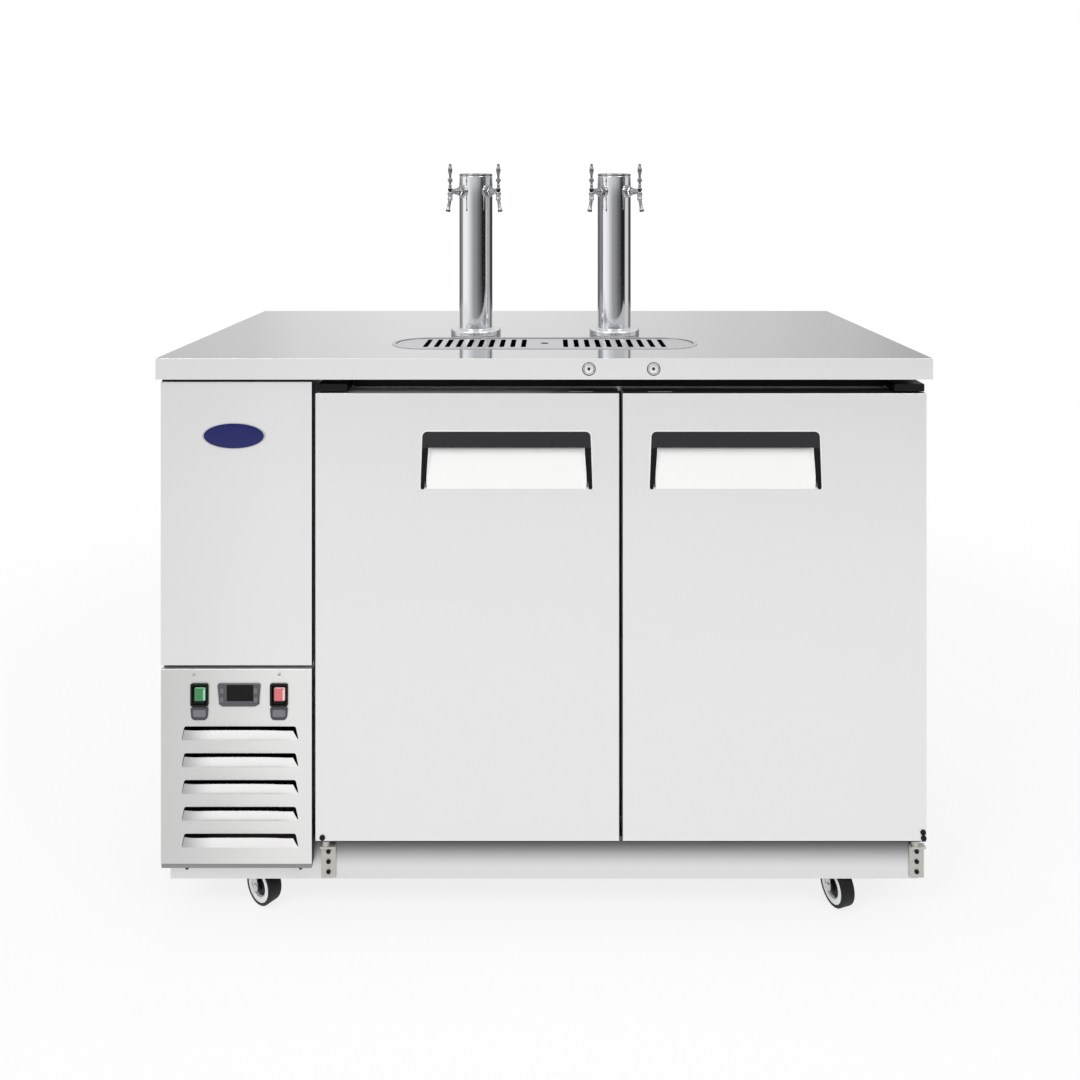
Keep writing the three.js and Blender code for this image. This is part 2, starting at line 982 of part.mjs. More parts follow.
function towerFlange() {
  const top = seat + flangeHeight;
  const rounded = (share) => flangeRound * (1 - Math.sin((share * Math.PI) / 2));
  return turned([
    [lineHole, seat],
    [flangeRadius, seat],
    [flangeRadius, top - flangeRound],
    [flangeRadius - rounded(1 / 2), top - rounded(1 / 2)],
    [flangeRadius - flangeRound, top],
    [lineHole, top],
    [lineHole, seat],
  ]);
}

function towerColumn() {
  const bottom = flangeHeight + 2 * seat;
  const top = towerRise - capHeight - seat;
  const tube = turned([
    [towerRadius - towerWall, bottom],
    [towerRadius, bottom],
    [towerRadius, top],
    [towerRadius - towerWall, top],
    [towerRadius - towerWall, bottom],
  ]);
  const shankZ = towerRise - shankDrop;
  const holes = [-faucetAngle, faucetAngle].map((angle) => {
    const turn = THREE.MathUtils.degToRad(angle);
    const [x, y] = [Math.sin(turn) * flangeRadius, -Math.cos(turn) * flangeRadius];
    return rod(shankRadius + seat, [0, 0, shankZ], [x, y, shankZ]);
  });
  return cut(tube, ...holes);
}

function towerCap() {
  const bottom = towerRise - capHeight;
  return turned([
    [0, bottom],
    [towerRadius, bottom],
    [towerRadius, towerRise - capDome],
    [towerRadius - capDome, towerRise - capDome / 3],
    [towerRadius / 2, towerRise],
    [0, towerRise],
  ]);
}

// Faucet and lever, in a frame on the shank's axis, with -Y pointing out from the tower

function faucet() {
  const out = (distance) => [0, -distance, 0];
  const nutStart = towerRadius + seat + collarThickness;
  const barrelStart = nutStart + nutLength;
  const barrelEnd = barrelStart + barrelLength;
  const shank = rod(shankRadius, out(towerRadius - 2 * towerWall), out(nutStart), coarse);
  const collar = rod(collarOuter, out(towerRadius - towerWall), out(nutStart), fine);
  const nut = rod(nutRadius, out(nutStart), out(barrelStart), 6);
  const barrel = rod(barrelRadius, out(barrelStart), out(barrelEnd), coarse);
  const spindleTop = leverPivotRise - leverBall - seat;
  const neck = rod(
    spindleRadius,
    [0, -barrelEnd + barrelRadius, -spindleRadius - seat - leverBall + leverPivotRise],
    [0, -spindleReach, -spindleRadius - seat - leverBall + leverPivotRise],
    coarse,
  );
  const spindle = rod(
    spindleRadius,
    [0, -spindleReach, -spindleFoot],
    [0, -spindleReach, spindleTop],
    coarse,
  );
  const lean = THREE.MathUtils.degToRad(spoutLean);
  const along = (distance) => [
    0,
    -spindleReach - Math.sin(lean) * distance,
    -spindleFoot + spindleRadius - Math.cos(lean) * distance,
  ];
  const spout = rod(spoutRadius, along(0), along(spoutLength), coarse);
  const tip = rod(tipRadius, along(spoutLength - tipLength), along(spoutLength), coarse);
  const bore = rod(tipBore, along(spoutLength - tipBoreDepth), along(spoutLength + overrun), coarse);
  const outer = join(collar, nut, barrel, neck, spindle, spout, tip);
  const around = rod(
    (towerRadius + seat) / Math.cos(Math.PI / fine),
    [0, 0, -collarOuter - overrun],
    [0, 0, collarOuter + overrun],
    fine,
  );
  return join(cut(outer, around, bore), shank);
}

// The lever stands on a ball at its pivot.
function tapLever() {
  const ball = Array.from({ length: leverBallSteps + 1 }, (_, step) => {
    const turn = (step / leverBallSteps) * leverBallShare * Math.PI;
    return [leverBall * Math.sin(turn), -leverBall * Math.cos(turn)];
  });
  const stem = leverProfileShares.map(([r, h]) => [r * leverRadius, h * leverLength]);
  return turned([...ball, ...stem, [0, leverLength]], coarse);
}

// Doors. Each door's frame lies at its hinge edge on the fronts' plane, and its width runs along
// inward * X, where inward is 1 for the left door and -1 for the right door.

function across(inward, u0, u1, y0, y1, z0, z1) {
  const [x0, x1] = [inward * u0, inward * u1].sort((a, b) => a - b);
  return block(x0, x1, y0, y1, z0, z1);
}

function handleSpan() {
  const end = doorWidth - handleFromMeet;
  return [end - handleWidth, end];
}

function doorPanel(inward) {
  const outside = across(inward, 0, doorWidth, 0, doorThickness, doorRise, doorTop);
  const inside = across(
    inward,
    doorSheet,
    doorWidth - doorSheet,
    doorSheet,
    doorThickness - doorSheet,
    doorRise + doorSheet,
    doorTop - doorSheet,
  );
  const backHole = across(
    inward,
    doorLip,
    doorWidth - doorLip,
    doorThickness - doorSheet - overrun,
    doorThickness + overrun,
    doorRise + doorLip,
    doorTop - doorLip,
  );
  const [h0, h1] = handleSpan();
  const handleTop = doorTop - handleDrop;
  const handleHole = across(
    inward,
    h0 + handleFlange,
    h1 - handleFlange,
    -overrun,
    doorSheet + overrun,
    handleTop - handleHeight + handleFlange,
    handleTop - handleFlange,
  );
  const pinHole = (z) =>
    rod(
      pivotRadius + running,
      [inward * pivotInset, pivotDepth, z - overrun],
      [inward * pivotInset, pivotDepth, z + overrun],
    );
  const lockX = doorWidth + doorGap / 2 - lockSpread;
  const camY = lockCamFront() - faceY;
  const camSlot = across(
    inward,
    lockX - camPath,
    lockX + camWidth / 2 + camClearance,
    camY - camClearance,
    camY + camThickness + camClearance,
    doorTop - overrun,
    doorTop + overrun,
  );
  return cut(outside, inside, backHole, handleHole, pinHole(doorRise), pinHole(doorTop), camSlot);
}

function doorLiner(inward) {
  const y0 = doorThickness + seat;
  const y1 = y0 + doorLinerThickness;
  const plate = across(inward, 0, doorWidth, y0, y1, doorRise, doorTop);
  const ring = gasketInset + gasketWidth + seat;
  const dike = (inset, depth) =>
    across(
      inward,
      ring + inset,
      doorWidth - ring - inset,
      y1 - (inset ? 0 : doorLinerThickness / 2),
      y1 + depth,
      doorRise + ring + inset,
      doorTop - ring - inset,
    );
  return cut(join(plate, dike(0, dikeHeight)), dike(dikeWidth, dikeHeight + overrun));
}

function doorGasket(inward) {
  const y0 = doorThickness + doorLinerThickness + 2 * seat;
  const y1 = y0 + gasketThickness;
  const outside = across(
    inward,
    gasketInset,
    doorWidth - gasketInset,
    y0,
    y1,
    doorRise + gasketInset,
    doorTop - gasketInset,
  );
  const inset = gasketInset + gasketWidth;
  const inside = across(
    inward,
    inset,
    doorWidth - inset,
    y0 - overrun,
    y1 + overrun,
    doorRise + inset,
    doorTop - inset,
  );
  return cut(outside, inside);
}

// The handle is a tray let into the door: a bar and two tapered legs round a sloping scoop.
function doorHandle(inward) {
  const [h0, h1] = handleSpan();
  const middle = (inward * (h0 + h1)) / 2;
  const top = doorTop - handleDrop;
  const bottom = top - handleHeight;
  const half = handleWidth / 2;
  const face = new THREE.Shape();
  face.moveTo(-half, bottom);
  face.lineTo(half, bottom);
  face.lineTo(half, top - handleCorner);
  face.absarc(half - handleCorner, top - handleCorner, handleCorner, 0, Math.PI / 2);
  face.absarc(-half + handleCorner, top - handleCorner, handleCorner, Math.PI / 2, Math.PI);
  const flange = frontPlate(face, -seat - handleProud, -seat);
  const inset = handleFlange + seat;
  const box = block(
    -half + inset,
    half - inset,
    -seat - handleProud,
    handleDepth,
    bottom + inset,
    top - inset,
  );
  const front = -seat - handleProud;
  const barBottom = top - handleBarHeight;
  const ceiling = top - inset - handleWall;
  const deep = handleDepth - handleWall;
  const scoop = sideRun(
    outline([
      [front - overrun, bottom + handleToe],
      [front + handleWall, bottom + handleToe],
      [deep, barBottom],
      [deep, ceiling],
      [front + handleBarThickness, ceiling],
      [front + handleBarThickness, barBottom],
      [front - overrun, barBottom],
    ]),
    -half,
    half,
  );
  const legs = frontPlate(
    outline([
      [-half + handleLegFoot, bottom],
      [half - handleLegFoot, bottom],
      [half - handleLegTop, top],
      [-half + handleLegTop, top],
    ]),
    front - 2 * overrun,
    handleDepth,
  );
  return cut(join(flange, box), scoop.intersect(legs)).translate([middle, 0, 0]);
}

// Hinges, in the same frame as their door

function lowerHinge(inward, outer) {
  const u0 = pivotInset - outer;
  const u1 = u0 + bracketWidth;
  const back = kickSetback - seat;
  const front = back - bracketSheet;
  const earTop = earRise + earThickness;
  const bottom = earTop - bracketHeight - earThickness;
  const plate = across(inward, u0, u1, front, back, bottom, earTop);
  const ear = across(inward, u0, u1, pivotDepth - collarRadius - seat, back, earRise, earTop);
  const x = inward * pivotInset;
  const collar = rod(collarRadius, [x, pivotDepth, earRise], [x, pivotDepth, doorRise - seat]);
  const pin = rod(pivotRadius, [x, pivotDepth, earRise], [x, pivotDepth, doorRise + pivotReach]);
  const middle = (inward * (u0 + u1)) / 2;
  const holes = Array.from({ length: 3 }, (_, index) => {
    const z = earRise - bracketHoleDrop - index * bracketHolePitch;
    return rod(bracketHole, [middle, front - overrun, z], [middle, back + overrun, z], coarse);
  });
  return join(cut(plate, ...holes), ear, collar.intersect(hingeReach(inward)), pin);
}

// Keeps the collar in front of the kick plate.
function hingeReach(inward) {
  const u0 = pivotInset - 2 * collarRadius;
  const u1 = pivotInset + 2 * collarRadius;
  return across(inward, u0, u1, -overrun, kickSetback - seat, earRise, doorTop);
}

function upperHinge(inward) {
  const u0 = pivotInset - armOuter;
  const z0 = doorTop + armClearance;
  const arm = across(
    inward,
    u0,
    u0 + armLength,
    armClearance,
    doorStack - seat,
    z0,
    z0 + armHeight,
  );
  const x = inward * pivotInset;
  const pin = rod(pivotRadius, [x, pivotDepth, doorTop - pivotReach], [x, pivotDepth, z0 + armHeight]);
  const washer = rod(collarRadius, [x, pivotDepth, doorTop + seat], [x, pivotDepth, z0 + armHeight]);
  return join(arm, pin, washer);
}

// Lock in the apron, in a frame on its axis at the apron's front face

function lockCamFront() {
  return topFront + topFlange + running;
}

function lockCylinder(inward) {
  const camFront = lockCamFront() - topFront;
  const y = (distance) => [0, distance, 0];
  const ring = rod(lockRing, y(lockSink), y(lockSink + lockRingThickness), fine);
  const barrel = rod(lockBarrel, y(lockSink), y(camFront + camThickness), coarse);
  const [x0, x1] = [0, -inward * camLength].sort((a, b) => a - b);
  const cam = block(x0, x1, camFront, camFront + camThickness, -camWidth / 2, camWidth / 2);
  const keyhole = block(
    -keyWidth / 2,
    keyWidth / 2,
    lockSink - overrun,
    lockSink + keyDepth,
    -keyHeight / 2,
    keyHeight / 2,
  );
  return cut(join(ring, barrel, cam), keyhole);
}

// Casters, each in a frame on its swivel axis at floor height, with the wheel trailing along +X

function casterPlaces() {
  return [
    [-casterSpreadX, -casterSpreadY],
    [casterSpreadX, -casterSpreadY],
    [-casterSpreadX, casterSpreadY],
    [casterSpreadX, casterSpreadY],
  ];
}

// The wheel stands on one of its flat facets.
function axleHeight() {
  return wheelRadius * Math.cos(Math.PI / fine);
}

function casterFork() {
  const z = axleHeight();
  const crownTop = underHeight - casterPlateThickness - seat;
  const crownBottom = crownTop - forkCrownThickness;
  const crown = rod(forkCrownRadius, [0, 0, crownBottom], [0, 0, crownTop], fine);
  const inner = wheelWidth / 2 + forkGap;
  const outer = inner + forkSheet;
  const leg = (y0, y1) =>
    frontPlate(
      outline([
        [-forkCrownRadius / 2, crownTop],
        [-forkCrownRadius / 2, crownBottom - forkSheet],
        [casterTrail - axleBoss, z],
        [casterTrail - axleBoss / 2, z - axleBoss],
        [casterTrail + axleBoss / 2, z - axleBoss],
        [casterTrail + axleBoss, z],
        [forkCrownRadius / 2, crownTop],
      ]),
      y0,
      y1,
    );
  const axle = rod(wheelBore - running, [casterTrail, -outer, z], [casterTrail, outer, z], coarse);
  const pinHole = rod(
    kingpinRadius + running,
    [0, 0, crownBottom - overrun],
    [0, 0, crownTop + overrun],
  );
  return join(cut(join(crown, leg(-outer, -inner), leg(inner, outer)), pinHole), axle);
}

function casterWheel() {
  const half = wheelWidth / 2;
  const end = half + forkGap - seat;
  const wheel = turned([
    [wheelBore, -end],
    [axleBoss, -end],
    [axleBoss, -half + hubSink],
    [hubRadius, -half],
    [wheelRadius - treadRound, -half],
    [wheelRadius, -half + treadRound],
    [wheelRadius, half - treadRound],
    [wheelRadius - treadRound, half],
    [hubRadius, half],
    [axleBoss, half - hubSink],
    [axleBoss, end],
    [wheelBore, end],
    [wheelBore, -end],
  ]);
  const facet = 180 / fine;
  return wheel.rotate([0, 0, facet]).rotate([90, 0, 0]);
}

// Compressor compartment

function compressor() {
  const base = bodyBottom + cabinetSheet + seat;
  const top = base + compressorHeight;
  const inner = compressorRadius - compressorWall;
  const feet = block(
    -compressorFootWidth / 2,
    compressorFootWidth / 2,
    -compressorFootDepth / 2,
    compressorFootDepth / 2,
    base,
    base + compressorFoot,
  );
  const dome = (radius, drop) =>
    compressorDomeShares.map(([r, h]) => [r * radius, top - drop - (1 - h) * compressorDome]);
  const can = turned([
    [inner, base],
    [compressorRadius, base],
    ...dome(compressorRadius, 0),
    ...dome(inner, compressorWall).reverse(),
    [inner, base],
  ]);
  const open = rod(inner, [0, 0, base - overrun], [0, 0, base + compressorFoot + overrun], fine);
  const pipe = (x) =>
    rod(shaftRadius, [x, 0, top - compressorDome], [x, 0, top + compressorPipe], coarse);
  const pipeX = compressorRadius / 2;
  return join(cut(feet, open), can, pipe(pipeX), pipe(-pipeX));
}

function compartmentX() {
  return (bodyLeft + panelRight) / 2;
}

// Fan round its own axis, Z, with its hub's middle at the origin
function fan() {
  const half = fanHubLength / 2;
  const hub = turned([
    [shaftRadius + running, -half],
    [fanHubRadius, -half],
    [fanHubRadius, half],
    [shaftRadius + running, half],
    [shaftRadius + running, -half],
  ], coarse);
  const blade = block(
    fanHubRadius / 2,
    fanRadius,
    -fanBladeWidth / 2,
    fanBladeWidth / 2,
    -fanBladeThickness / 2,
    fanBladeThickness / 2,
  ).rotate([fanBladePitch, 0, 0]);
  const blades = Array.from({ length: fanBlades }, (_, index) =>
    blade.rotate([0, 0, (index * 360) / fanBlades]),
  );
  return join(hub, ...blades);
}

// Condenser, shroud and fan motor, in a frame at the condenser's front and the compartment's floor
function condenserUnit() {
  const half = condenserWidth / 2;
  const height = condenserHeight;
  const coil = block(-half, half, 0, condenserDepth, 0, height);
  const pitch = condenserWidth / (condenserFins + 1);
  const slotHalf = (pitch * finSlotShare) / 2;
  const slots = Array.from({ length: condenserFins }, (_, index) => {
    const x = -half + (index + 1) * pitch;
    return block(
      x - slotHalf,
      x + slotHalf,
      -overrun,
      finSlotDepth,
      pitch,
      height - pitch,
    );
  });
  const plateY = condenserDepth + shroudDepth;
  const box = block(-half, half, condenserDepth, plateY, 0, height);
  const hollow = block(
    -half + shroudSheet,
    half - shroudSheet,
    condenserDepth,
    plateY - shroudSheet,
    shroudSheet,
    height - shroudSheet,
  );
  const middle = height / 2;
  const mouth = rod(
    fanRadius + fanTipGap,
    [0, plateY - shroudSheet - overrun, middle],
    [0, plateY + overrun, middle],
    fine,
  );
  const motorStart = plateY + fanHubLength / 2 + motorArm / 2;
  const motor = rod(
    motorRadius,
    [0, motorStart, middle],
    [0, motorStart + motorLength, middle],
    coarse,
  );
  const shaft = rod(
    shaftRadius,
    [0, plateY - fanHubLength / 2, middle],
    [0, motorStart + running, middle],
  );
  const armEnd = motorStart + motorArm;
  const bar = block(
    -half,
    half,
    motorStart,
    armEnd,
    middle - motorArm / 2,
    middle + motorArm / 2,
  );
  const post = (x0, x1) =>
    block(x0, x1, plateY - shroudSheet, armEnd, middle - motorArm / 2, middle + motorArm / 2);
  return join(
    cut(coil, ...slots),
    cut(box, hollow, mouth),
    motor,
    shaft,
    bar,
    post(-half, -half + shroudSheet),
    post(half - shroudSheet, half),
  );
}

// Evaporator housing, coil and fan motor, in a frame at the keg space's left wall and ceiling
function evaporatorUnit() {
  const half = evaporatorWidth / 2;
  const depth = evaporatorDepth;
  const sheet = evaporatorSheet;
  const outside = block(0, depth, -half, half, -evaporatorHeight, 0);
  const inside = block(
    sheet,
    depth - sheet,
    -half + sheet,
    half - sheet,
    -evaporatorHeight - overrun,
    -sheet,
  );
  const middle = -evaporatorHeight / 2;
  const mouth = rod(
    fanRadius + fanTipGap,
    [depth - sheet - overrun, 0, middle],
    [depth + overrun, 0, middle],
    fine,
  );
  const coil = block(
    sheet / 2,
    sheet + coilDepth,
    -half + coilDepth,
    half - coilDepth,
    -evaporatorHeight + coilDepth,
    -coilDepth,
  );
  const motorEnd = sheet + coilDepth + motorLength;
  const motor = rod(motorRadius, [sheet + coilDepth, 0, middle], [motorEnd, 0, middle], coarse);
  const shaft = rod(
    shaftRadius,
    [motorEnd - running, 0, middle],
    [depth + fanHubLength / 2, 0, middle],
  );
  return join(cut(outside, inside, mouth), coil, motor, shaft);
}

// Assembly

const cooler = new THREE.Group();
const sides = [
  { side: "left", inward: 1, edge: leftEdge, outer: bracketOuters[0], x: -towerSpread },
  { side: "right", inward: -1, edge: rightEdge, outer: bracketOuters[1], x: towerSpread },
];

add(cooler, "outer_cabinet", outerCabinet(), steel);
add(cooler, "inner_liner", innerLiner(), linerSteel);
add(cooler, "base_frame", baseFrame(), galvanised);
add(cooler, "kick_plate", kickPlate(), steel);
add(
  cooler,
  "upper_front_panel",
  panelPan(upperPanelBottom, upperPanelTop - upperPanelBottom),
  panelSteel,
);
add(cooler, "grille_panel", grillePanel(), panelSteel);

const plateX = bodyLeft + plateFromLeft + plateWidth / 2;
const plateZ = upperPanelTop - plateFromTop - plateHeight / 2;
const plateFrame = groupAt(cooler, plateX, faceY - seat, plateZ);
add(plateFrame, "name_plate", namePlate(), navy);

add(cooler, "worktop", worktop(), steel);
const tray = groupAt(cooler, 0, trayY, 0);
add(tray, "drip_pan", dripPan(), steel);
add(tray, "drip_grate", dripGrate(), steel);

for (const { side, x } of sides) {
  const tower = groupAt(cooler, x, towerY, topHeight);
  add(tower, `tower_flange_${side}`, towerFlange(), polished);
  add(tower, `tower_column_${side}`, towerColumn(), polished);
  add(tower, `tower_cap_${side}`, towerCap(), polished);
  const taps = [
    { place: "outer", angle: x < 0 ? -faucetAngle : faucetAngle },
    { place: "inner", angle: x < 0 ? faucetAngle : -faucetAngle },
  ];
  for (const { place, angle } of taps) {
    const tap = groupAt(tower, 0, 0, towerRise - shankDrop, angle);
    add(tap, `faucet_${side}_${place}`, faucet(), polished);
    const lever = groupAt(tap, 0, -spindleReach, leverPivotRise);
    add(lever, `tap_lever_${side}_${place}`, tapLever(), polished);
  }
}

for (const { side, inward, edge, outer } of sides) {
  const door = groupAt(cooler, edge, faceY, 0);
  add(door, `door_panel_${side}`, doorPanel(inward), panelSteel);
  add(door, `door_liner_${side}`, doorLiner(inward), white);
  add(door, `door_gasket_${side}`, doorGasket(inward), greyPlastic);
  add(door, `door_handle_${side}`, doorHandle(inward), charcoal);
  add(door, `lower_hinge_${side}`, lowerHinge(inward, outer), bracketGrey);
  add(door, `upper_hinge_${side}`, upperHinge(inward), black);
  const lock = groupAt(cooler, meetX - inward * lockSpread, topFront, lockZ);
  add(lock, `lock_cylinder_${side}`, lockCylinder(inward), polished);
}

const powerSwitch = groupAt(cooler, bodyLeft + powerSwitchX, faceY, controlZ);
add(powerSwitch, "power_switch_housing", switchHousing(), black);
add(powerSwitch, "power_rocker", rocker(), greenPlastic);
const lightSwitch = groupAt(cooler, bodyLeft + lightSwitchX, faceY, controlZ);
add(lightSwitch, "light_switch_housing", switchHousing(), black);
add(lightSwitch, "light_rocker", rocker(), redPlastic);
const controller = groupAt(cooler, bodyLeft + controllerX, faceY, controlZ);
add(controller, "controller_body", controllerBody(), greyPlastic);
buttonPlaces().forEach(([x, z], index) => {
  const button = groupAt(controller, x, 0, z);
  add(button, `controller_button_${index + 1}`, controllerButton(), greyPlastic);
});

casterPlaces().forEach(([x, y], index) => {
  const name = ["front_left", "front_right", "rear_left", "rear_right"][index];
  const caster = groupAt(cooler, x, y, 0, casterAngles[index]);
  add(caster, `caster_fork_${name}`, casterFork(), galvanised);
  const wheel = groupAt(caster, casterTrail, 0, axleHeight());
  add(wheel, `caster_wheel_${name}`, casterWheel(), tyreBlack);
});

const pump = groupAt(cooler, compartmentX(), compressorY, 0);
add(pump, "compressor", compressor(), black);
const compartmentFloor = bodyBottom + cabinetSheet + seat;
const condenser = groupAt(cooler, compartmentX(), condenserY, compartmentFloor);
add(condenser, "condenser_unit", condenserUnit(), copper);
const condenserFan = groupAt(
  condenser,
  0,
  condenserDepth + shroudDepth,
  condenserHeight / 2,
);
add(condenserFan, "condenser_fan", fan(), greyPlastic).rotation.x = Math.PI / 2;

const evaporatorX = cavityLeft + seat;
const evaporator = groupAt(cooler, evaporatorX, evaporatorY, cavityCeiling - seat);
add(evaporator, "evaporator_unit", evaporatorUnit(), white);
const evaporatorFan = groupAt(evaporator, evaporatorDepth, 0, -evaporatorHeight / 2);
add(evaporatorFan, "evaporator_fan", fan(), greyPlastic).rotation.y = Math.PI / 2;

export default cooler;
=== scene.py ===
# %% [markdown]
# # A direct-draw beer cooler
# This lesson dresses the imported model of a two-door beer cooler with its tap towers. The frame
# brings every solid to its place, in metres, with +X to the right, +Y to the back and +Z up.
# It comes first, because every new piece is placed against it and rides on one of its bodies.

# %% Load the frame
import json
import math
from contextlib import contextmanager

import bmesh
import bpy
from mathutils import Matrix, Vector

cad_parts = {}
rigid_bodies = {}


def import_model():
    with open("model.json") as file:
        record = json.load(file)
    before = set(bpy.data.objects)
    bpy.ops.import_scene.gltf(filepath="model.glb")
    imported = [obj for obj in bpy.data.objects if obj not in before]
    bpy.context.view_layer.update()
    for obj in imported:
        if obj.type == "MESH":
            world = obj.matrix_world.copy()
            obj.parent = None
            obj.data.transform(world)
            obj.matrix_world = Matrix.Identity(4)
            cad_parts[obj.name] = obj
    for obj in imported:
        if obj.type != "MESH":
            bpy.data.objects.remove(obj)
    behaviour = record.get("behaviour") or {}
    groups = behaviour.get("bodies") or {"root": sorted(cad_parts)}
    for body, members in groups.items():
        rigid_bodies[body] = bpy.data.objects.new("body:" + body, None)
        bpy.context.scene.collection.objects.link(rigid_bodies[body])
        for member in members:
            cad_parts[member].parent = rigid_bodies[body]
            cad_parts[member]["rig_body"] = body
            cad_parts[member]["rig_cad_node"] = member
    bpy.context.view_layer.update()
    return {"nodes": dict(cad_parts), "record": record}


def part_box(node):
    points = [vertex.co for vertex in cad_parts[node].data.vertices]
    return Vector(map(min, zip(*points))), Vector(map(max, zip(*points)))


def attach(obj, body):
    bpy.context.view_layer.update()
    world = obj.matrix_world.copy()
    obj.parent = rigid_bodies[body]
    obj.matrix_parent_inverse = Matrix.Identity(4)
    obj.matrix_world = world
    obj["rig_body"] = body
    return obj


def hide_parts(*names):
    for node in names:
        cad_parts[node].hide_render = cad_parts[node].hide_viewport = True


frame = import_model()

scene = bpy.context.scene
nodes = frame["nodes"]
MM = 0.001

# %% [markdown]
# ## The camera
# The photograph's horizon lies high in the picture while upright edges stay upright, so it was
# taken with a level camera and a shifted lens. A tilted camera would make the sides lean
# together. The lens and the place were solved from the worktop's corners and the towers.

# %% Camera at the photograph's place
CAMERA_PLACE = (0.011, -2.212, 1.391)
LENS = 32.77
SENSOR = 36.0
SHIFT = (-0.0093, -0.3266)

camera_data = bpy.data.cameras.new("camera")
camera = bpy.data.objects.new("camera", camera_data)
scene.collection.objects.link(camera)
camera.location = CAMERA_PLACE
camera.rotation_euler = (math.pi / 2, 0, 0)
camera_data.lens = LENS
camera_data.sensor_width = SENSOR
camera_data.shift_x, camera_data.shift_y = SHIFT
scene.camera = camera
print("camera", tuple(round(x, 3) for x in camera.location), "lens", LENS)

# %% [markdown]
# ## Light, floor and background
# The real cooler stands in an even white studio. A soft world with two large lamps gives that
# light. Polished tubes need something darker to mirror, or they turn into white bars, so the
# world that mirrors see has soft grey bands, like the flags a photographer puts beside chrome.
# The white behind the cooler comes from the camera's own rays, not from more light.

# %% World
SKY_FOR_LIGHT = 0.62
# Each band is (share of a full turn, brightness). 0.5 faces the front, 0.75 the right side.
LEVEL_BANDS = (
    (0.00, 0.10), (0.10, 0.12), (0.17, 0.22), (0.21, 0.32), (0.245, 1.00),
    (0.32, 1.00), (0.37, 0.86), (0.42, 0.58), (0.468, 0.34), (0.52, 0.27),
    (0.565, 0.15), (0.612, 0.08), (0.632, 0.015), (0.70, 0.015), (0.722, 0.62),
    (0.77, 0.80), (0.80, 0.60), (0.828, 0.07), (0.90, 0.05), (1.00, 0.10),
)
RAISED_BANDS = (
    (0.00, 0.81), (0.012, 0.835), (0.024, 0.83), (0.037, 0.78), (0.049, 0.67),
    (0.062, 0.62), (0.09, 0.50), (0.12, 0.25), (0.19, 0.40), (0.245, 1.00),
    (0.33, 1.00), (0.42, 0.75), (0.50, 0.62), (0.57, 0.42), (0.63, 0.06),
    (0.70, 0.06), (0.73, 0.75), (0.80, 0.70), (0.84, 0.15), (0.90, 0.30),
    (0.94, 0.47), (0.955, 0.60), (0.968, 0.67), (0.985, 0.745), (1.00, 0.81),
)
# Higher up, the front is lighter: the worktop mirrors it when it is seen from behind.
FRONT_SHARE = (0.4, 0.75)
FRONT_LEAST = 0.62
HIGH_BANDS = tuple(
    (place, max(bright, FRONT_LEAST) if FRONT_SHARE[0] < place < FRONT_SHARE[1] else bright)
    for place, bright in RAISED_BANDS
)
PLAIN = 0.90
# Heights are the upward part of a direction: 0 is level, 1 is straight up. Below the floor's
# and above the roof's height the mirrored world is plain; the step and the lift part the rows.
BAND_FLOOR = (-0.158, -0.138)
BAND_STEP = (0.004, 0.014)
BAND_LIFT = (0.05, 0.08)
BAND_ROOF = (0.19, 0.32)


def node_at(tree, kind, **values):
    """Adds a node and sets its plain properties."""
    node = tree.nodes.new(kind)
    for key, value in values.items():
        setattr(node, key, value)
    return node


def math_node(tree, operation, first, second=None):
    """A Math node whose inputs are sockets or plain numbers."""
    node = node_at(tree, "ShaderNodeMath", operation=operation)
    for socket, value in zip(node.inputs, (first, second)):
        if isinstance(value, (int, float)):
            socket.default_value = value
        elif value is not None:
            tree.links.new(value, socket)
    return node.outputs[0]


def ray_is(tree, *kinds):
    """1 where the ray is of one of these kinds, else 0."""
    path = node_at(tree, "ShaderNodeLightPath")
    total = path.outputs[kinds[0]]
    for kind in kinds[1:]:
        total = math_node(tree, "MAXIMUM", total, path.outputs[kind])
    return total


def step_between(tree, value, low, high):
    """Rises smoothly from 0 to 1 as the value goes from low to high."""
    node = node_at(tree, "ShaderNodeMapRange", interpolation_type="SMOOTHSTEP")
    node.inputs["From Min"].default_value = low
    node.inputs["From Max"].default_value = high
    tree.links.new(value, node.inputs["Value"])
    return node.outputs[0]


def band_ramp(tree, share, bands):
    """One row of bands: a brightness for each share of a turn."""
    node = node_at(tree, "ShaderNodeValToRGB")
    ramp = node.color_ramp
    ramp.interpolation = "EASE"
    while len(ramp.elements) > 1:
        ramp.elements.remove(ramp.elements[-1])
    for index, (place, tone) in enumerate(bands):
        element = ramp.elements[0] if index == 0 else ramp.elements.new(place)
        element.position = place
        element.color = (tone, tone, tone * 1.005, 1)
    tree.links.new(share, node.inputs[0])
    return node.outputs["Color"]


def mixed(tree, factor, first, second):
    """A colour mix whose ends are sockets or grey values."""
    node = node_at(tree, "ShaderNodeMix", data_type="RGBA")
    tree.links.new(factor, node.inputs["Factor"])
    for label, value in (("A", first), ("B", second)):
        if isinstance(value, float):
            node.inputs[label].default_value = (value, value, value, 1)
        else:
            tree.links.new(value, node.inputs[label])
    return node.outputs["Result"]


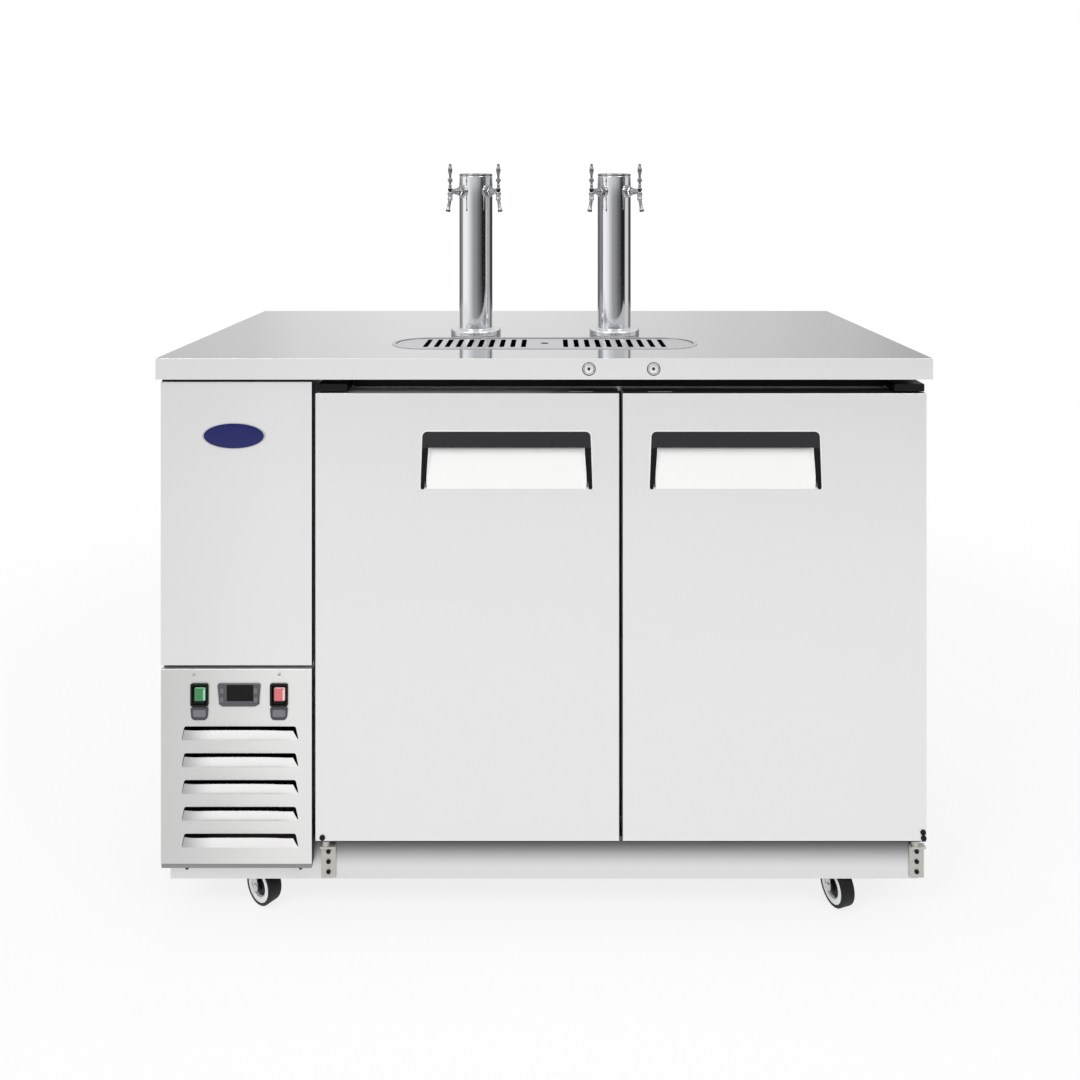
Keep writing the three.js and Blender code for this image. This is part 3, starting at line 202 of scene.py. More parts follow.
def make_world():
    """Even light for the object, bands for its mirrors and white for the camera."""
    world = bpy.data.worlds.new("studio")
    scene.world = world
    world.use_nodes = True
    tree = world.node_tree
    tree.nodes.clear()
    out = node_at(tree, "ShaderNodeOutputWorld")
    back = node_at(tree, "ShaderNodeBackground")
    split = node_at(tree, "ShaderNodeSeparateXYZ")
    tree.links.new(node_at(tree, "ShaderNodeTexCoord").outputs["Generated"], split.inputs[0])
    forward = math_node(tree, "MULTIPLY", split.outputs["Y"], -1.0)
    turn = math_node(tree, "ARCTAN2", split.outputs["X"], forward)
    share = math_node(tree, "ADD", math_node(tree, "MULTIPLY", turn, 1 / (2 * math.pi)), 0.5)
    up = split.outputs["Z"]
    bands = band_ramp(tree, share, LEVEL_BANDS)
    for height, row in ((BAND_STEP, RAISED_BANDS), (BAND_LIFT, HIGH_BANDS)):
        bands = mixed(tree, step_between(tree, up, *height), bands, band_ramp(tree, share, row))
    above = mixed(tree, step_between(tree, up, *BAND_FLOOR), PLAIN, bands)
    mirrored = mixed(tree, step_between(tree, up, *BAND_ROOF), above, PLAIN)
    lit = mixed(tree, ray_is(tree, "Is Glossy Ray", "Is Transmission Ray"), SKY_FOR_LIGHT, mirrored)
    seen = mixed(tree, ray_is(tree, "Is Camera Ray"), lit, 1.0)
    tree.links.new(seen, back.inputs["Color"])
    tree.links.new(back.outputs[0], out.inputs["Surface"])


make_world()
scene.view_settings.view_transform = "Standard"
print("bands in the mirrored world:", len(LEVEL_BANDS), len(RAISED_BANDS), len(HIGH_BANDS))

# %% [markdown]
# ## Lamps
# Two broad lamps stand in front, left and right, and a weak one hangs above. An area lamp of
# two metres gives soft shadows, as a softbox does. The top one is left out of mirrors, where
# it would show as a white square on the worktop.

# %% Lamps
# Each lamp is (name, place, the point it faces, width in metres, power in watts).
LAMPS = (
    ("key", (-2.4, -3.0, 4.0), (0.0, 0.0, 0.7), 2.0, 70),
    ("fill", (2.6, -3.0, 3.8), (0.2, 0.0, 0.6), 2.0, 48),
    ("top", (0.0, 0.6, 3.6), (0.0, 0.0, 1.0), 2.4, 16),
)


def lamp(name, place, target, size, energy):
    """A square area lamp that faces a point."""
    data = bpy.data.lights.new(name, "AREA")
    data.size = size
    data.energy = energy
    made = bpy.data.objects.new(name, data)
    scene.collection.objects.link(made)
    made.location = place
    made.rotation_euler = (Vector(target) - Vector(place)).to_track_quat("-Z", "Y").to_euler()
    made.visible_glossy = name != "top"
    return made


for row in LAMPS:
    lamp(*row)
print("lamps:", ", ".join(row[0] for row in LAMPS))

# %% [markdown]
# ## Floor
# The floor is a pale plane that melts into the white ground. Its paint catches the cooler's
# shadow, and a glow that only the camera and mirrors see lifts it to white farther out.

# %% Floor
FLOOR_SIZE = 8
FLOOR_PAINT = (0.93, 0.93, 0.93, 1)
FLOOR_KEEP = 0.2
FLOOR_FADE = (1.2, 3.0)


def floor_material():
    """Pale paint near the object, with more and more glow farther out."""
    made = bpy.data.materials.new("studio_floor")
    made.use_nodes = True
    tree = made.node_tree
    tree.nodes.clear()
    out = node_at(tree, "ShaderNodeOutputMaterial")
    paint = node_at(tree, "ShaderNodeBsdfDiffuse")
    paint.inputs["Color"].default_value = FLOOR_PAINT
    glow = node_at(tree, "ShaderNodeEmission")
    glow.inputs["Strength"].default_value = 1
    where = node_at(tree, "ShaderNodeTexCoord")
    distance = node_at(tree, "ShaderNodeVectorMath", operation="LENGTH")
    tree.links.new(where.outputs["Object"], distance.inputs[0])
    fade = node_at(tree, "ShaderNodeMapRange", interpolation_type="SMOOTHSTEP")
    ends = {
        "From Min": FLOOR_FADE[0], "From Max": FLOOR_FADE[1],
        "To Min": 1 - FLOOR_KEEP, "To Max": 1.0,
    }
    for name, value in ends.items():
        fade.inputs[name].default_value = value
    tree.links.new(distance.outputs["Value"], fade.inputs["Value"])
    shown = ray_is(tree, "Is Camera Ray", "Is Glossy Ray", "Is Transmission Ray")
    mix = node_at(tree, "ShaderNodeMixShader")
    tree.links.new(math_node(tree, "MULTIPLY", shown, fade.outputs[0]), mix.inputs[0])
    tree.links.new(paint.outputs[0], mix.inputs[1])
    tree.links.new(glow.outputs[0], mix.inputs[2])
    tree.links.new(mix.outputs[0], out.inputs["Surface"])
    return made


def deselect_all():
    """Back to object mode with nothing selected."""
    if bpy.context.mode != "OBJECT":
        bpy.ops.object.mode_set(mode="OBJECT")
    bpy.ops.object.select_all(action="DESELECT")


deselect_all()
bpy.ops.mesh.primitive_plane_add(size=FLOOR_SIZE)
floor = bpy.context.active_object
floor.name = "floor"
floor.data.materials.append(floor_material())
print("floor", FLOOR_SIZE, "m wide")

# %% [markdown]
# ## Effects that several finishes share
# Sheet steel is brushed: long fine scratches that all run one way, with faint wipe marks over
# them. Moulded plastic and paint have a fine grain instead, and what stands near the floor
# gathers dust. Each effect is one node group, so every finish can use it with its own values.

# %% Node group helpers
def new_group(name, inputs, outputs):
    """A shader node group with named sockets. Each input is (name, type, value)."""
    tree = bpy.data.node_groups.new(name, "ShaderNodeTree")
    for label, kind, value in inputs:
        socket = tree.interface.new_socket(name=label, in_out="INPUT", socket_type=kind)
        socket.default_value = value
    for label, kind in outputs:
        tree.interface.new_socket(name=label, in_out="OUTPUT", socket_type=kind)
    entry = node_at(tree, "NodeGroupInput")
    leave = node_at(tree, "NodeGroupOutput")
    return tree, entry.outputs, leave.inputs


def noise(tree, vector, scale, detail=2.0, roughness=0.5):
    """A noise value, 0 to 1, for each place."""
    node = node_at(tree, "ShaderNodeTexNoise")
    node.inputs["Scale"].default_value = scale
    node.inputs["Detail"].default_value = detail
    node.inputs["Roughness"].default_value = roughness
    tree.links.new(vector, node.inputs["Vector"])
    return node.outputs["Fac"]


def stretched(tree, vector, scale_socket):
    """The place times a scale of its own on each axis."""
    node = node_at(tree, "ShaderNodeVectorMath", operation="MULTIPLY")
    tree.links.new(vector, node.inputs[0])
    tree.links.new(scale_socket, node.inputs[1])
    return node.outputs[0]


def centred(tree, value, strength):
    """(value - a half) times strength."""
    return math_node(tree, "MULTIPLY", math_node(tree, "SUBTRACT", value, 0.5), strength)


def lighter(tree, colour, amount):
    """The colour times (1 + amount)."""
    node = node_at(tree, "ShaderNodeVectorMath", operation="SCALE")
    tree.links.new(colour, node.inputs[0])
    tree.links.new(math_node(tree, "ADD", amount, 1.0), node.inputs["Scale"])
    return node.outputs[0]


# %% Brushed steel group
def brushed_group():
    """Long scratches and faint wipe marks, and painted shade: a tone that fades along one
    direction.
    """
    tree, given, result = new_group(
        "brushed_steel",
        [
            ("Colour", "NodeSocketColor", (0.7, 0.7, 0.7, 1)),
            ("Grain Scale", "NodeSocketVector", (2, 2, 400)),
            ("Grain Tone", "NodeSocketFloat", 0.04),
            ("Wipe Tone", "NodeSocketFloat", 0.03),
            ("Roughness", "NodeSocketFloat", 0.3),
            ("Roughness Spread", "NodeSocketFloat", 0.08),
            ("Fade Along", "NodeSocketVector", (1, 0, 0)),
            ("Fade From", "NodeSocketFloat", -1.0),
            ("Fade To", "NodeSocketFloat", -0.99),
            ("Fade Tone", "NodeSocketFloat", 0.0),
        ],
        [
            ("Colour", "NodeSocketColor"),
            ("Roughness", "NodeSocketFloat"),
            ("Height", "NodeSocketFloat"),
        ],
    )
    place = node_at(tree, "ShaderNodeTexCoord").outputs["Object"]
    grain = noise(tree, stretched(tree, place, given["Grain Scale"]), 1.0, 3.0, 0.7)
    wipe = noise(tree, place, 3.2, 3.0, 0.55)
    tone = math_node(
        tree, "ADD",
        centred(tree, grain, given["Grain Tone"]), centred(tree, wipe, given["Wipe Tone"]),
    )
    along = node_at(tree, "ShaderNodeVectorMath", operation="DOT_PRODUCT")
    tree.links.new(place, along.inputs[0])
    tree.links.new(given["Fade Along"], along.inputs[1])
    fade = node_at(tree, "ShaderNodeMapRange", interpolation_type="SMOOTHSTEP")
    tree.links.new(along.outputs["Value"], fade.inputs["Value"])
    tree.links.new(given["Fade From"], fade.inputs["From Min"])
    tree.links.new(given["Fade To"], fade.inputs["From Max"])
    fade.inputs["To Min"].default_value = 1.0
    fade.inputs["To Max"].default_value = 0.0
    tone = math_node(
        tree, "ADD", tone, math_node(tree, "MULTIPLY", fade.outputs[0], given["Fade Tone"])
    )
    spread = given["Roughness Spread"]
    rough = math_node(tree, "ADD", centred(tree, grain, spread), centred(tree, wipe, spread))
    tree.links.new(lighter(tree, given["Colour"], tone), result["Colour"])
    tree.links.new(math_node(tree, "ADD", rough, given["Roughness"]), result["Roughness"])
    tree.links.new(grain, result["Height"])
    return tree


# %% Moulded grain group
DUST = (0.42, 0.40, 0.37, 1)
DUST_ROUGHNESS = 0.3


def moulded_group():
    """A fine grain with patches of wear, and dust on what lies near the floor."""
    tree, given, result = new_group(
        "moulded_grain",
        [
            ("Colour", "NodeSocketColor", (0.5, 0.5, 0.5, 1)),
            ("Grain Size", "NodeSocketFloat", 900.0),
            ("Grain Tone", "NodeSocketFloat", 0.08),
            ("Wear Tone", "NodeSocketFloat", 0.08),
            ("Roughness", "NodeSocketFloat", 0.45),
            ("Roughness Spread", "NodeSocketFloat", 0.12),
            ("Dust", "NodeSocketFloat", 0.0),
            ("Dust Top", "NodeSocketFloat", 0.15),
        ],
        [
            ("Colour", "NodeSocketColor"),
            ("Roughness", "NodeSocketFloat"),
            ("Height", "NodeSocketFloat"),
        ],
    )
    place = node_at(tree, "ShaderNodeTexCoord").outputs["Object"]
    grain_node = node_at(tree, "ShaderNodeTexVoronoi")
    tree.links.new(place, grain_node.inputs["Vector"])
    tree.links.new(given["Grain Size"], grain_node.inputs["Scale"])
    grain = grain_node.outputs["Distance"]
    wear = noise(tree, place, 14.0, 4.0, 0.6)
    tone = math_node(
        tree, "ADD",
        centred(tree, grain, given["Grain Tone"]), centred(tree, wear, given["Wear Tone"]),
    )
    height = node_at(tree, "ShaderNodeSeparateXYZ")
    tree.links.new(place, height.inputs[0])
    low = node_at(tree, "ShaderNodeMapRange", interpolation_type="SMOOTHSTEP")
    tree.links.new(height.outputs["Z"], low.inputs["Value"])
    tree.links.new(given["Dust Top"], low.inputs["From Max"])
    low.inputs["To Min"].default_value = 1.0
    low.inputs["To Max"].default_value = 0.0
    patchy = math_node(tree, "MULTIPLY", low.outputs[0], noise(tree, place, 60.0, 3.0, 0.7))
    dust = math_node(tree, "MULTIPLY", patchy, given["Dust"])
    mix = node_at(tree, "ShaderNodeMix", data_type="RGBA")
    tree.links.new(dust, mix.inputs["Factor"])
    tree.links.new(lighter(tree, given["Colour"], tone), mix.inputs["A"])
    mix.inputs["B"].default_value = DUST
    rough = math_node(
        tree, "ADD", centred(tree, wear, given["Roughness Spread"]), given["Roughness"]
    )
    tree.links.new(mix.outputs["Result"], result["Colour"])
    dusty = math_node(tree, "ADD", rough, math_node(tree, "MULTIPLY", dust, DUST_ROUGHNESS))
    tree.links.new(dusty, result["Roughness"])
    tree.links.new(grain, result["Height"])
    return tree


groups = {"brushed": brushed_group(), "moulded": moulded_group()}
print("groups:", ", ".join(group.name for group in groups.values()))

# %% [markdown]
# ## Finishes
# Each slot of the record gets one finish. Polished steel is fully metallic, so its tone comes
# from its colour and from what it mirrors. The doors and panels are dull sheet that scatters
# light, so they are partly metallic. Several steel finishes carry painted shade: their colour
# fades darker towards one side or edge.

# %% Finish maker
def tone(red, green, blue):
    """A colour given as it looks on a screen, 0 to 255, as Blender's linear values."""
    def linear(value):
        share = value / 255
        return share / 12.92 if share <= 0.04045 else ((share + 0.055) / 1.055) ** 2.4

    return (linear(red), linear(green), linear(blue), 1)


BUMP_HEIGHT = 0.00005
# How fine the grain is along X, Y and Z: ACROSS gives long scratches that lie level.
ACROSS = (3, 3, 700)
SPARKLE = (160, 160, 160)
finishes = {}


def finish(name, group, colour, shader, bump=0.02, **values):
    """A material whose colour, roughness and bump come from a group; shader holds plain numbers."""
    made = bpy.data.materials.new(name)
    made.use_nodes = True
    tree = made.node_tree
    principled = tree.nodes["Principled BSDF"]
    effect = node_at(tree, "ShaderNodeGroup", node_tree=groups[group])
    effect.inputs["Colour"].default_value = tone(*colour)
    for key, value in values.items():
        effect.inputs[key.replace("_", " ").title()].default_value = value
    tree.links.new(effect.outputs["Colour"], principled.inputs["Base Color"])
    tree.links.new(effect.outputs["Roughness"], principled.inputs["Roughness"])
    relief = node_at(tree, "ShaderNodeBump")
    relief.inputs["Strength"].default_value = bump
    relief.inputs["Distance"].default_value = BUMP_HEIGHT
    tree.links.new(effect.outputs["Height"], relief.inputs["Height"])
    tree.links.new(relief.outputs[0], principled.inputs["Normal"])
    for key, value in shader.items():
        principled.inputs[key].default_value = value
    finishes[name] = made


METAL = {"Metallic": 1.0}
SATIN = {"Metallic": 0.6, "Specular IOR Level": 0.5}
PLASTIC = {"Metallic": 0.0, "Specular IOR Level": 0.4}
GLOSSY = {"Metallic": 0.0, "Coat Weight": 0.5, "Coat Roughness": 0.08}
DARK = {"Metallic": 0.0, "Specular IOR Level": 0.2}
finish("cabinet_steel", "brushed", (214, 214, 216), METAL, grain_scale=ACROSS, roughness=0.36)
finish("liner_steel", "brushed", (206, 208, 211), METAL, grain_scale=ACROSS, roughness=0.42,
       wipe_tone=0.06)
finish("frame_steel", "brushed", (176, 178, 181), METAL, grain_scale=SPARKLE, roughness=0.5,
       grain_tone=0.18, wipe_tone=0.12)
# Painted shade: the upper panel's and the louvred panel's colour fades darker towards their left
# edge.
finish("panel_steel", "brushed", (234, 234, 235), SATIN, grain_scale=ACROSS, roughness=0.34,
       fade_from=-0.735, fade_to=-0.46, fade_tone=-0.07)
finish("grille_steel_painted_shade", "brushed", (232, 232, 231), SATIN, grain_scale=ACROSS, roughness=0.34,
       fade_from=-0.735, fade_to=-0.46, fade_tone=-0.24)
finish("door_steel", "brushed", (234, 234, 234), SATIN, grain_scale=ACROSS, roughness=0.33)
# The doors' top faces get painted shade: their colour darkens towards the right.
finish("door_top_painted_shade", "brushed", (226, 226, 226), SATIN, grain_scale=ACROSS, roughness=0.33,
       fade_along=(-1, 0, 0), fade_from=-0.1, fade_to=0.06, fade_tone=-0.88)
finish("worktop_steel", "brushed", (224, 224, 225), METAL, grain_scale=ACROSS, roughness=0.1,
       roughness_spread=0.03)
# The apron's finish carries painted shade: it fades darker towards the worktop's left end.
finish("apron_steel_painted_shade", "brushed", (241, 241, 241), SATIN, grain_scale=ACROSS, roughness=0.3,
       fade_from=-0.74, fade_to=-0.2, fade_tone=-0.08)
finish("tray_shade", "brushed", (30, 30, 31), METAL, grain_scale=SPARKLE, roughness=0.5)
finish("tray_steel", "brushed", (204, 204, 207), METAL, grain_scale=ACROSS, roughness=0.25)
finish("tower_polish", "brushed", (236, 237, 240), METAL, grain_scale=(4, 4, 900), roughness=0.08,
       roughness_spread=0.04, grain_tone=0.02, bump=0.01)
finish("flange_steel", "brushed", (222, 223, 225), METAL, grain_scale=ACROSS, roughness=0.2,
       roughness_spread=0.04)
finish("cap_steel", "brushed", (168, 169, 171), METAL, grain_scale=SPARKLE, roughness=0.14,
       roughness_spread=0.04)
finish("faucet_chrome", "brushed", (158, 159, 161), METAL, grain_scale=SPARKLE, roughness=0.07,
       roughness_spread=0.05, grain_tone=0.02, bump=0.01)
finish("lever_chrome", "brushed", (118, 119, 121), METAL, grain_scale=SPARKLE, roughness=0.07,
       roughness_spread=0.05, grain_tone=0.02, bump=0.01)
finish("lock", "brushed", (240, 240, 241), SATIN, grain_scale=SPARKLE, roughness=0.25)
finish("name_plate", "moulded", (20, 26, 94), {"Specular IOR Level": 0.3, "Coat Weight": 0.1},
       roughness=0.3, grain_tone=0.03, bump=0.01)
finish("door_liner", "moulded", (238, 239, 238), PLASTIC, roughness=0.42, grain_size=600.0,
       grain_tone=0.02, wear_tone=0.02)
finish("gasket", "moulded", (150, 151, 154), PLASTIC, roughness=0.6, grain_size=500.0)
finish("handle", "moulded", (30, 30, 34), PLASTIC, roughness=0.42, grain_size=1200.0,
       grain_tone=0.15)
finish("bracket", "moulded", (192, 190, 184), {"Metallic": 0.55}, roughness=0.42, grain_size=700.0)
finish("hinge_black", "moulded", (12, 12, 13), DARK, roughness=0.45)
finish("switch_black", "moulded", (12, 12, 13), DARK, roughness=0.4)
finish("rocker_green", "moulded", (38, 128, 66), GLOSSY, roughness=0.25)
finish("rocker_red", "moulded", (214, 104, 110), GLOSSY, roughness=0.25)
finish("controller_grey", "moulded", (84, 85, 90), PLASTIC, roughness=0.42)
finish("button_grey", "moulded", (112, 113, 118), PLASTIC, roughness=0.4)
finish("caster_metal", "brushed", (196, 198, 200), METAL, grain_scale=SPARKLE, roughness=0.32,
       grain_tone=0.1, wipe_tone=0.1)
finish("caster_tyre", "moulded", (20, 21, 24), DARK, roughness=0.6, dust=0.12, dust_top=0.06)
finish("compressor_black", "moulded", (24, 24, 26), PLASTIC, roughness=0.38, dust=0.3, dust_top=0.4)
# The condenser's dark tone is partly painted shade: it keeps the louvre slots in front of it black.
finish("condenser", "brushed", (52, 47, 43), METAL, grain_scale=(500, 3, 3), roughness=0.4,
       grain_tone=0.3)
finish("fan_plastic", "moulded", (150, 152, 156), PLASTIC, roughness=0.45)
finish("evaporator", "moulded", (236, 238, 238), PLASTIC, roughness=0.45)
print(len(finishes), "finishes")

# %% Finishes on the CAD nodes
slot_of = {row["node"]: row["material_slot"] for row in frame["record"]["subparts"]}


def dress(node, material):
    """Puts one finish on all of a CAD node."""
    if not nodes[node].material_slots:
        nodes[node].data.materials.append(material)
    for slot in nodes[node].material_slots:
        slot.material = material


for node in nodes:
    dress(node, finishes[slot_of[node]])
print(len(nodes), "nodes dressed")

# %% [markdown]
# ## Tools for modelling
# Each piece starts as a primitive at its size and place. It is shaped in edit mode, where faces
# and edges are picked by their place, and finished by modifiers that are applied. Sizes are
# written in millimetres, as on the CAD drawing, and become metres when a mesh is made.

# %% Picking and editing
def only(piece):
    """Selects one piece and nothing else."""
    deselect_all()
    piece.select_set(True)
    bpy.context.view_layer.objects.active = piece


@contextmanager
def editing(piece):
    """Edit mode on one piece, with nothing selected in it."""
    only(piece)
    bpy.ops.object.mode_set(mode="EDIT")
    bpy.ops.mesh.select_all(action="DESELECT")
    yield
    bpy.ops.object.mode_set(mode="OBJECT")


def pick(kind, test):
    """Selects the faces, edges or vertices whose middle, in millimetres, passes the test."""
    mesh = bpy.context.edit_object.data
    bpy.ops.mesh.select_mode(type={"faces": "FACE", "edges": "EDGE", "verts": "VERT"}[kind])
    bpy.ops.mesh.select_all(action="DESELECT")
    form = bmesh.from_edit_mesh(mesh)
    for part in getattr(form, kind):
        if kind == "faces":
            wanted = test(part.calc_center_median() / MM, part.normal)
        elif kind == "edges":
            wanted = test(part.verts[0].co / MM, part.verts[1].co / MM)
        else:
            wanted = test(part.co / MM)
        if wanted:
            part.select_set(True)
    form.select_flush_mode()
    bmesh.update_edit_mesh(mesh)


def shifted(test, x=0, y=0, z=0):
    """Moves the vertices that pass the test, by millimetres."""
    pick("verts", test)
    bpy.ops.transform.translate(value=(x * MM, y * MM, z * MM))


def rounded(test, radius, segments=5):
    """Rounds the edges that pass the test."""
    pick("edges", test)
    bpy.ops.mesh.bevel(offset=radius * MM, segments=segments, affect="EDGES")


def pushed(x=0, y=0, z=0):
    """Extrudes what is selected, by millimetres."""
    bpy.ops.mesh.extrude_region_move(TRANSFORM_OT_translate={"value": (x * MM, y * MM, z * MM)})


def select_everything():
    """Selects all of the mesh that is being edited."""
    bpy.ops.mesh.select_all(action="SELECT")


def near(value, wanted):
    """True within a twentieth of a millimetre."""
    return abs(value - wanted) < 0.05


def runs_back(a, b):
    """True on an edge that runs straight back, from the object's front into its depth."""
    return near(a.x, b.x) and near(a.z, b.z)


# %% Starting and finishing a piece
def named(name):
    """Names the piece that was just made, and its mesh."""
    piece = bpy.context.active_object
    piece.name = piece.data.name = name
    return piece


def apply_place(piece, place=None):
    """Moves the piece's place into its mesh, so that the object sits at the origin."""
    only(piece)
    if place is not None:
        piece.matrix_world = place
    bpy.ops.object.transform_apply(location=True, rotation=True, scale=True)
    return piece


def slab(name, low, high):
    """A block between two corners."""
    low, high = Vector(low) * MM, Vector(high) * MM
    deselect_all()
    bpy.ops.mesh.primitive_cube_add(size=1, location=(low + high) / 2)
    piece = named(name)
    piece.scale = high - low
    return apply_place(piece)


def modified(piece, kind, **values):
    """Adds a modifier with these values and applies it."""
    modifier = piece.modifiers.new(kind.lower(), kind)
    for key, value in values.items():
        setattr(modifier, key, value)
    only(piece)
    bpy.ops.object.modifier_apply(modifier=modifier.name)
    return piece


def softened(piece, width, segments=3, angle=30):
    """Rounds the edges that turn by more than the angle."""
    return modified(
        piece, "BEVEL", width=width * MM, segments=segments, limit_method="ANGLE",
        angle_limit=math.radians(angle),
    )


def thickened(piece, thickness):
    """Gives an open shell its wall, on the side away from its normals."""
    return modified(piece, "SOLIDIFY", thickness=thickness * MM, offset=-1, use_even_offset=True)


def clean(piece):
    """Merges doubles and points the faces outwards."""
    with editing(piece):
        select_everything()
        bpy.ops.mesh.remove_doubles(threshold=0.000002)
        bpy.ops.mesh.normals_make_consistent(inside=False)
    return piece


def bored(piece, *cutters):
    """Cuts the cutters out of the piece and deletes them."""
    for cutter in cutters:
        modified(piece, "BOOLEAN", object=cutter, operation="DIFFERENCE", solver="EXACT")
        bpy.data.objects.remove(cutter)
    return piece


def fused(piece, part):
    """Melts a second closed body into the piece."""
    modified(piece, "BOOLEAN", object=part, operation="UNION", solver="EXACT")
    bpy.data.objects.remove(part)
    return piece


def joined(name, *parts):
    """Several closed shells as one piece."""
    deselect_all()
    for part in parts:
        part.select_set(True)
    bpy.context.view_layer.objects.active = parts[0]
    bpy.ops.object.join()
    return named(name)


def copied(piece, name, place):
    """A copy with its own mesh, put at a place."""
    only(piece)
    bpy.ops.object.duplicate(linked=False)
    twin = named(name)
    apply_place(twin, place)
    if place.determinant() < 0:
        clean(twin)
    return twin


def removed(*models):
    """Removes models that were only there to be copied or to cut."""
    for model in models:
        bpy.data.objects.remove(model)


def fitted(piece, body, slot, *stands_for, angle=35, look=None):
    """The finished piece is smoothed and gets its body and its finish; the nodes that it stands for
    are hidden. The finish is the slot's, unless a look of its own is given."""
    only(piece)
    bpy.ops.object.shade_smooth_by_angle(angle=math.radians(angle))
    modified(piece, "WEIGHTED_NORMAL", keep_sharp=True)
    piece.data.materials.clear()
    piece.data.materials.append(finishes[look or slot])
    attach(piece, body)
    if stands_for:
        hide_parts(*stands_for)
    piece.data.calc_loop_triangles()
    print(f"{piece.name}: {len(piece.data.loop_triangles)} triangles on {body}")
    return piece


def painted(piece, slot, test):
    """A second finish on the faces whose middle, in millimetres, and normal pass the test."""
    piece.data.materials.append(finishes[slot])
    for face in piece.data.polygons:
        if test(face.center / MM, face.normal):
            face.material_index = len(piece.data.materials) - 1
    return piece


def at(x=0, y=0, z=0, turn=0, axis="Z"):
    """A place in millimetres, turned by degrees round an axis."""
    return Matrix.Translation(Vector((x, y, z)) * MM) @ Matrix.Rotation(math.radians(turn), 4, axis)


# %% Turned pieces
def turned(name, profile, steps=64):
    """A lathe piece round Z: the profile, as (radius, height), is drawn by extruding a point."""
    deselect_all()
    start = Vector((profile[0][0], 0, profile[0][1])) * MM
    bpy.ops.mesh.primitive_plane_add(size=MM, location=start)
    piece = named(name)
    apply_place(piece)
    with editing(piece):
        bpy.ops.mesh.select_mode(type="VERT")
        select_everything()
        bpy.ops.mesh.merge(type="CENTER")
        for (r0, h0), (r1, h1) in zip(profile, profile[1:]):
            pushed(x=r1 - r0, z=h1 - h0)
        select_everything()
        bpy.ops.mesh.spin(steps=steps, angle=2 * math.pi, center=(0, 0, 0), axis=(0, 0, 1))
    return clean(piece)


def curve_through(points, spans=5):
    """Points of a smooth line through the given ones."""
    ends = [points[0], *points, points[-1]]
    line = []
    for a, b, c, d in zip(ends, ends[1:], ends[2:], ends[3:]):
        for index in range(spans):
            t = index / spans
            line.append(tuple(
                0.5 * (2 * q + (r - p) * t + (2 * p - 5 * q + 4 * r - s) * t * t
                       + (3 * q - p - 3 * r + s) * t**3)
                for p, q, r, s in zip(a, b, c, d)
            ))
    return [*line, points[-1]]


def corner(radius, height, size, start, end, steps=5):
    """A rounded corner of a profile: an arc of this size round a centre, in degrees."""
    angles = [math.radians(start + (end - start) * index / steps) for index in range(steps + 1)]
    return [(radius + size * math.cos(a), height + size * math.sin(a)) for a in angles]


def mirrored_down(half):
    """A closed profile from its upper half, for a piece that is alike above and below."""
    return [*half, *[(radius, -height) for radius, height in reversed(half)], half[0]]


def turned_models(kind, parts):
    """One turned model for each part; a part is (its look or None, steps, profile)."""
    return {
        part: turned(f"{kind}_{part}_model", profile, steps)
        for part, (look, steps, profile) in parts.items()
    }


toward_front = Matrix.Rotation(math.radians(90), 4, "X")

# %% [markdown]
# ## Tap towers
# Each tower is a length of polished tube on a turned flange, closed by a slightly domed cap.
# Such tubes are welded and then polished on a lathe, so a profile turned round their axis is
# the natural way to draw them. Each part is turned once and copied to both places.

# %% Towers
TOWER_X = 152.4
TOWER_Y = -44
TOP = 1068
TOWER_RISE = 354
TUBE = 36.25
CAP = 7
DOME = 1.05 * 0.9
FLANGE = 55
FLANGE_HOLE = 25.2
FLANGE_TOP = 13.3
SEAT = 0.3
tower_x = {"left": -TOWER_X, "right": TOWER_X}

flange_profile = [
    (FLANGE_HOLE, SEAT),
    (FLANGE - 0.6, SEAT),
    (FLANGE, 0.9),
    *corner(FLANGE - 5, FLANGE_TOP - 5, 5, 0, 90, 8),
    (TUBE + 5, FLANGE_TOP),
    *corner(TUBE + 3.2, FLANGE_TOP - 0.05, 1.2, 40, 90, 3),
    (TUBE + 0.6, FLANGE_TOP - 0.2),
    (FLANGE_HOLE, FLANGE_TOP - 0.2),
    (FLANGE_HOLE, SEAT),
]
tube_profile = [
    (TUBE - 2, FLANGE_TOP + SEAT),
    (TUBE, FLANGE_TOP + SEAT),
    *[(TUBE, FLANGE_TOP + 40 * index) for index in range(1, 8)],
    (TUBE, TOWER_RISE - CAP - 1.1),
    (TUBE - 0.5, TOWER_RISE - CAP - SEAT),
    (TUBE - 2, TOWER_RISE - CAP - SEAT),
    (TUBE - 2, FLANGE_TOP + SEAT),
]
cap_profile = [
    (0, TOWER_RISE - CAP),
    (TUBE - 0.5, TOWER_RISE - CAP),
    (TUBE, TOWER_RISE - CAP + 0.5),
    (TUBE, TOWER_RISE - 3),
    *corner(TUBE - 2, TOWER_RISE - 3, 2, 15, 75, 4),
    *[(TUBE * share, TOWER_RISE - DOME * share**2) for share in (0.85, 0.65, 0.45, 0.25)],
    (0, TOWER_RISE),
]
TOWER_PARTS = {
    "flange": ("flange_steel", 96, flange_profile),
    "column": (None, 96, tube_profile),
    "cap": ("cap_steel", 96, cap_profile),
}
tower_models = turned_models("tower", TOWER_PARTS)
for side, x in tower_x.items():
    for part, model in tower_models.items():
        piece = copied(model, f"tower_{part}_{side}_polished", at(x, TOWER_Y, TOP))
        fitted(piece, "cabinet", "tower_polish", f"tower_{part}_{side}", look=TOWER_PARTS[part][0])
removed(*tower_models.values())

